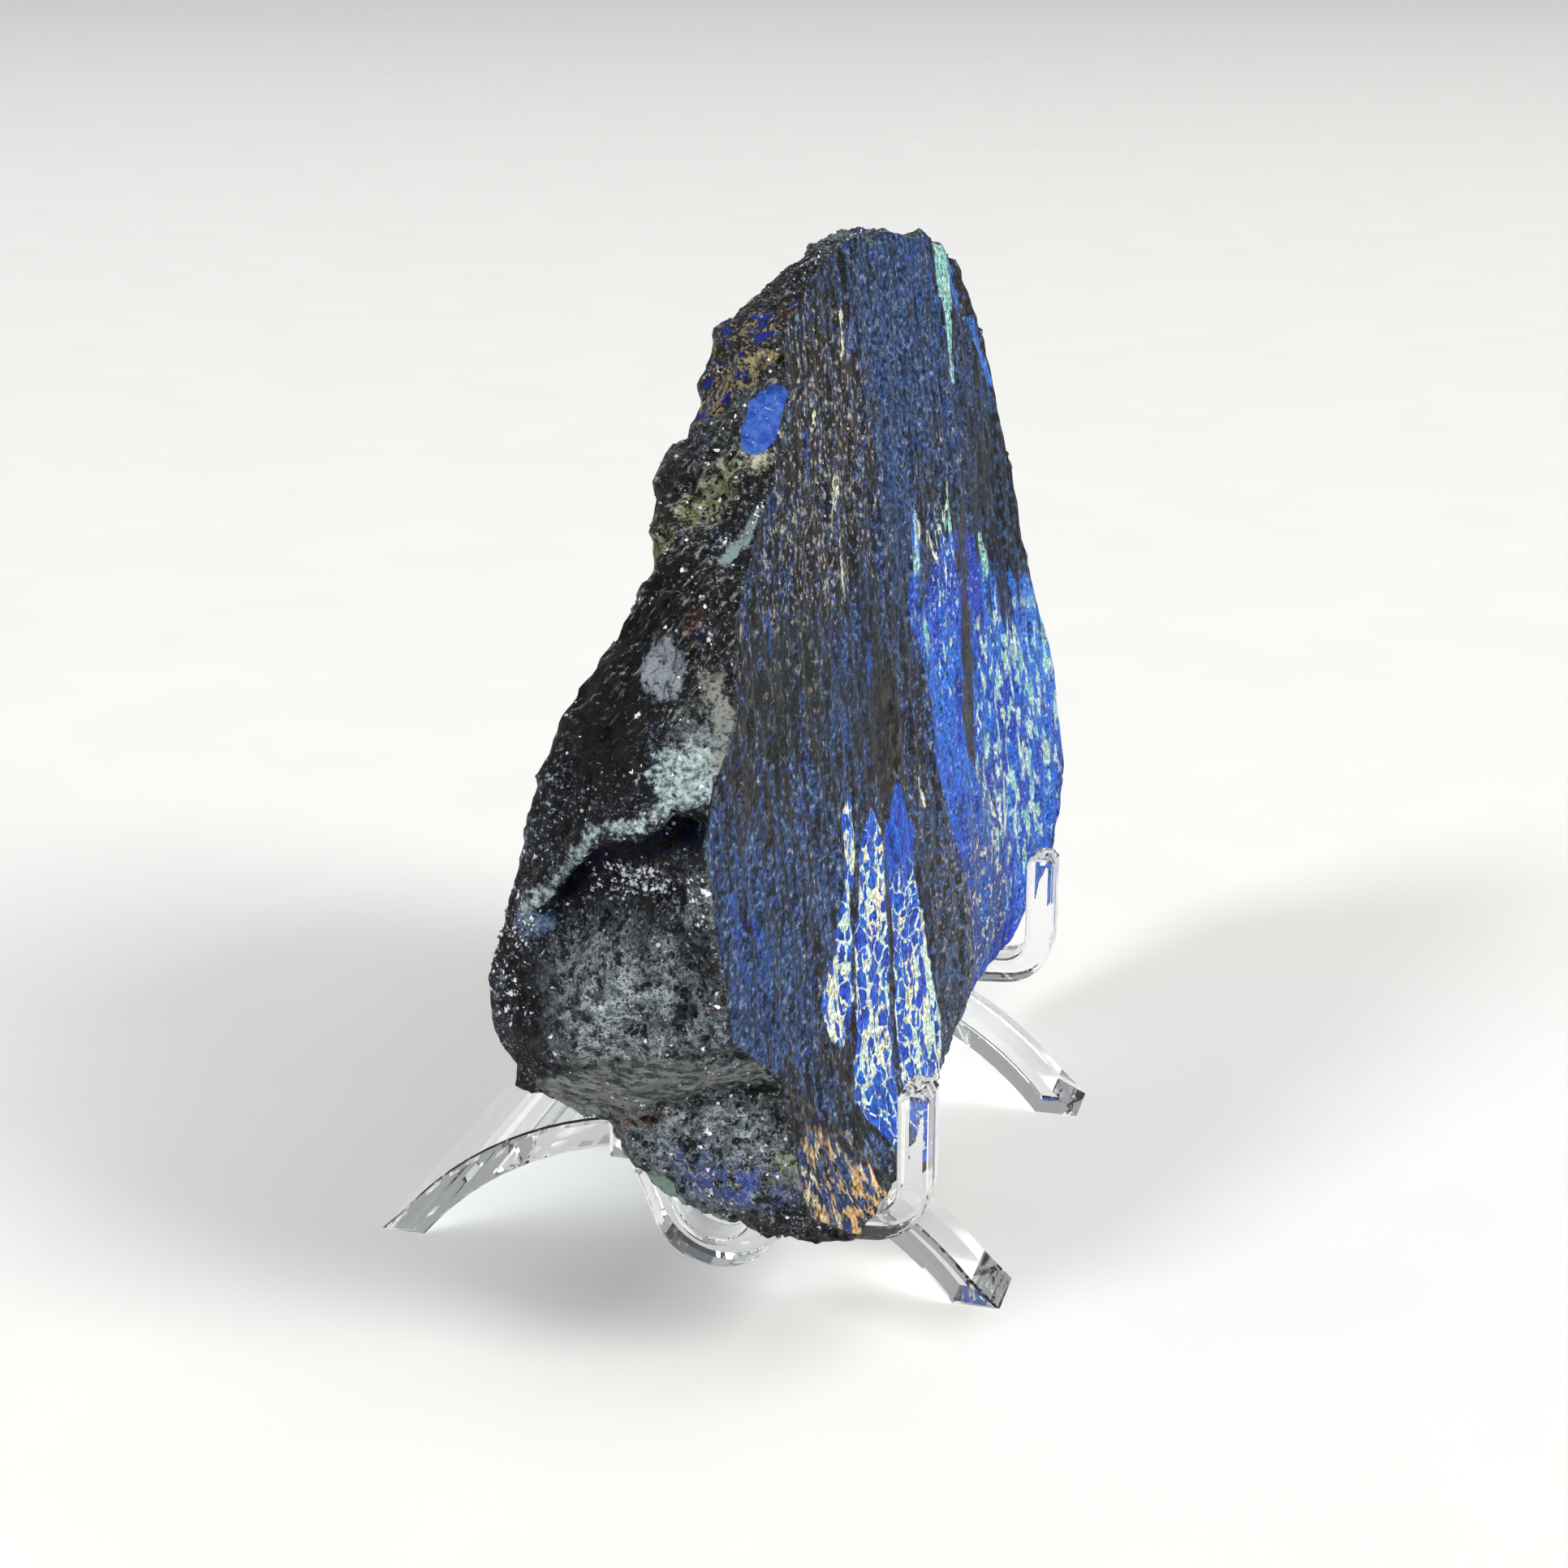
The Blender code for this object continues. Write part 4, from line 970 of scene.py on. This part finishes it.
# The stand. One clear plastic moulding: an arched base cut into two front legs, and two arms that hold
# the stone between lip and riser. Its faces are polished, with faint rubbing marks from handling. Its
# shape is the CAD solid, and light passes through it to the table.
clear = bpy.data.materials.new("clear_plastic")
clear.use_nodes = True
tree = clear.node_tree
shader = tree.nodes["Principled BSDF"]
shader.inputs["Base Color"].default_value = rgb(0.97, 0.98, 0.985)
shader.inputs["Transmission Weight"].default_value = 1.0
shader.inputs["IOR"].default_value = 1.49
rubbed = use_group(tree, streaks, "Value", Place=use_group(tree, stone_place, "Place"), Across=0.5,
                   Along=0.5, Seed=61.0)
tree.links.new(spread(tree, rubbed, 0.4, 0.7, 0.0, 0.05), shader.inputs["Roughness"])
light_path = node(tree, "LightPath")
let_through = node(tree, "BsdfTransparent", {"Color": rgb(0.93, 0.94, 0.95)})
given = {0: light_path.outputs["Is Shadow Ray"], 1: shader.outputs[0], 2: let_through.outputs[0]}
both = node(tree, "MixShader", given)
tree.links.new(both.outputs[0], tree.nodes["Material Output"].inputs["Surface"])
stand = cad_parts["stand"]
stand.data.materials.clear()
stand.data.materials.append(clear)

# The table. A plain pale sheet of matt paper laid flat, wide enough to fill the picture. It lies a hair
# below the feet, so that the two never share a plane.
TABLE_HALF_WIDTH = 8.0
TABLE_DROP = 2e-5
floor_mesh = bpy.data.meshes.new("table")
corners = [(x * TABLE_HALF_WIDTH, y * TABLE_HALF_WIDTH, -TABLE_DROP) for x,
           y in ((-1, -1), (1, -1), (1, 1), (-1, 1))]
floor_mesh.from_pydata(corners, [], [(0, 1, 2, 3)])
table = add_object("table", floor_mesh)
paper = bpy.data.materials.new("pale_paper")
paper.use_nodes = True
tree = paper.node_tree
coordinate = node(tree, "TexCoord").outputs["Object"]
mottle = node(tree, "TexNoise", {"Vector": coordinate, "Scale": 40.0, "Detail": 4.0})
tone = paint(tree, rgb(0.735, 0.73, 0.71), rgb(0.785, 0.78, 0.76), mottle.outputs[0])
tree.links.new(tone, tree.nodes["Principled BSDF"].inputs["Base Color"])
tree.nodes["Principled BSDF"].inputs["Roughness"].default_value = 0.7
tree.nodes["Principled BSDF"].inputs["Specular IOR Level"].default_value = 0.1
floor_mesh.materials.append(paper)


# The light. A broad soft lamp stands high in front of the split face, and a smaller one high on the rough
# side, towards the back. A wide pale sun from above and an even sky fill the shadows.
def soft_light(name, place_m, aim_m, size_m, watts, color):
    lamp = bpy.data.lights.new(name, "AREA")
    lamp.shape = "RECTANGLE"
    lamp.size, lamp.size_y = size_m
    lamp.energy = watts
    lamp.color = color
    holder = add_object(name, lamp)
    holder.location = place_m
    holder.rotation_euler = (Vector(aim_m) - Vector(place_m)).to_track_quat("-Z", "Y").to_euler()


soft_light("window", (-0.75, -2.85, 2.25), (0.0, 0.0, 0.04), (1.35, 1.35), 99.0, (1.0, 0.98, 0.95))
soft_light("room", (-2.25, 1.65, 2.40), (0.0, 0.0, 0.04), (0.75, 0.75), 63.0, (0.96, 0.98, 1.0))
daylight = bpy.data.lights.new("daylight", "SUN")
daylight.energy = 0.9
daylight.angle = math.radians(50.0)
holder = add_object("daylight", daylight)
holder.rotation_euler = (math.radians(18.0), math.radians(-10.0), 0.0)
world = bpy.data.worlds.new("studio")
world.use_nodes = True
world.node_tree.nodes["Background"].inputs[0].default_value = rgb(0.86, 0.88, 0.90)
world.node_tree.nodes["Background"].inputs[1].default_value = 0.40
bpy.context.scene.world = world
bpy.context.scene.view_settings.view_transform = "Standard"
bpy.context.scene.cycles.glossy_bounces = 12

# The camera. It stands on the rough side, a little higher than the slab, and looks down at 18 degrees, as
# the photo was taken. Place and angles come from fitting the straight edges of the stand.
CAMERA_PLACE = (-230.48, -65.59, 116.45)
CAMERA_YAW = math.radians(15.16)
CAMERA_PITCH = math.radians(18.22)
CAMERA_LENS = 63.35
camera_data = bpy.data.cameras.new("camera")
camera_data.lens = CAMERA_LENS
camera_data.sensor_width = 36.0
camera_data.clip_start = 0.005
camera = add_object("camera", camera_data)
camera.location = (np.array(CAMERA_PLACE) + STAND_CENTRE) * MM
camera.rotation_euler = (math.radians(90.0) - CAMERA_PITCH, 0.0, CAMERA_YAW - math.radians(90.0))
bpy.context.scene.camera = camera
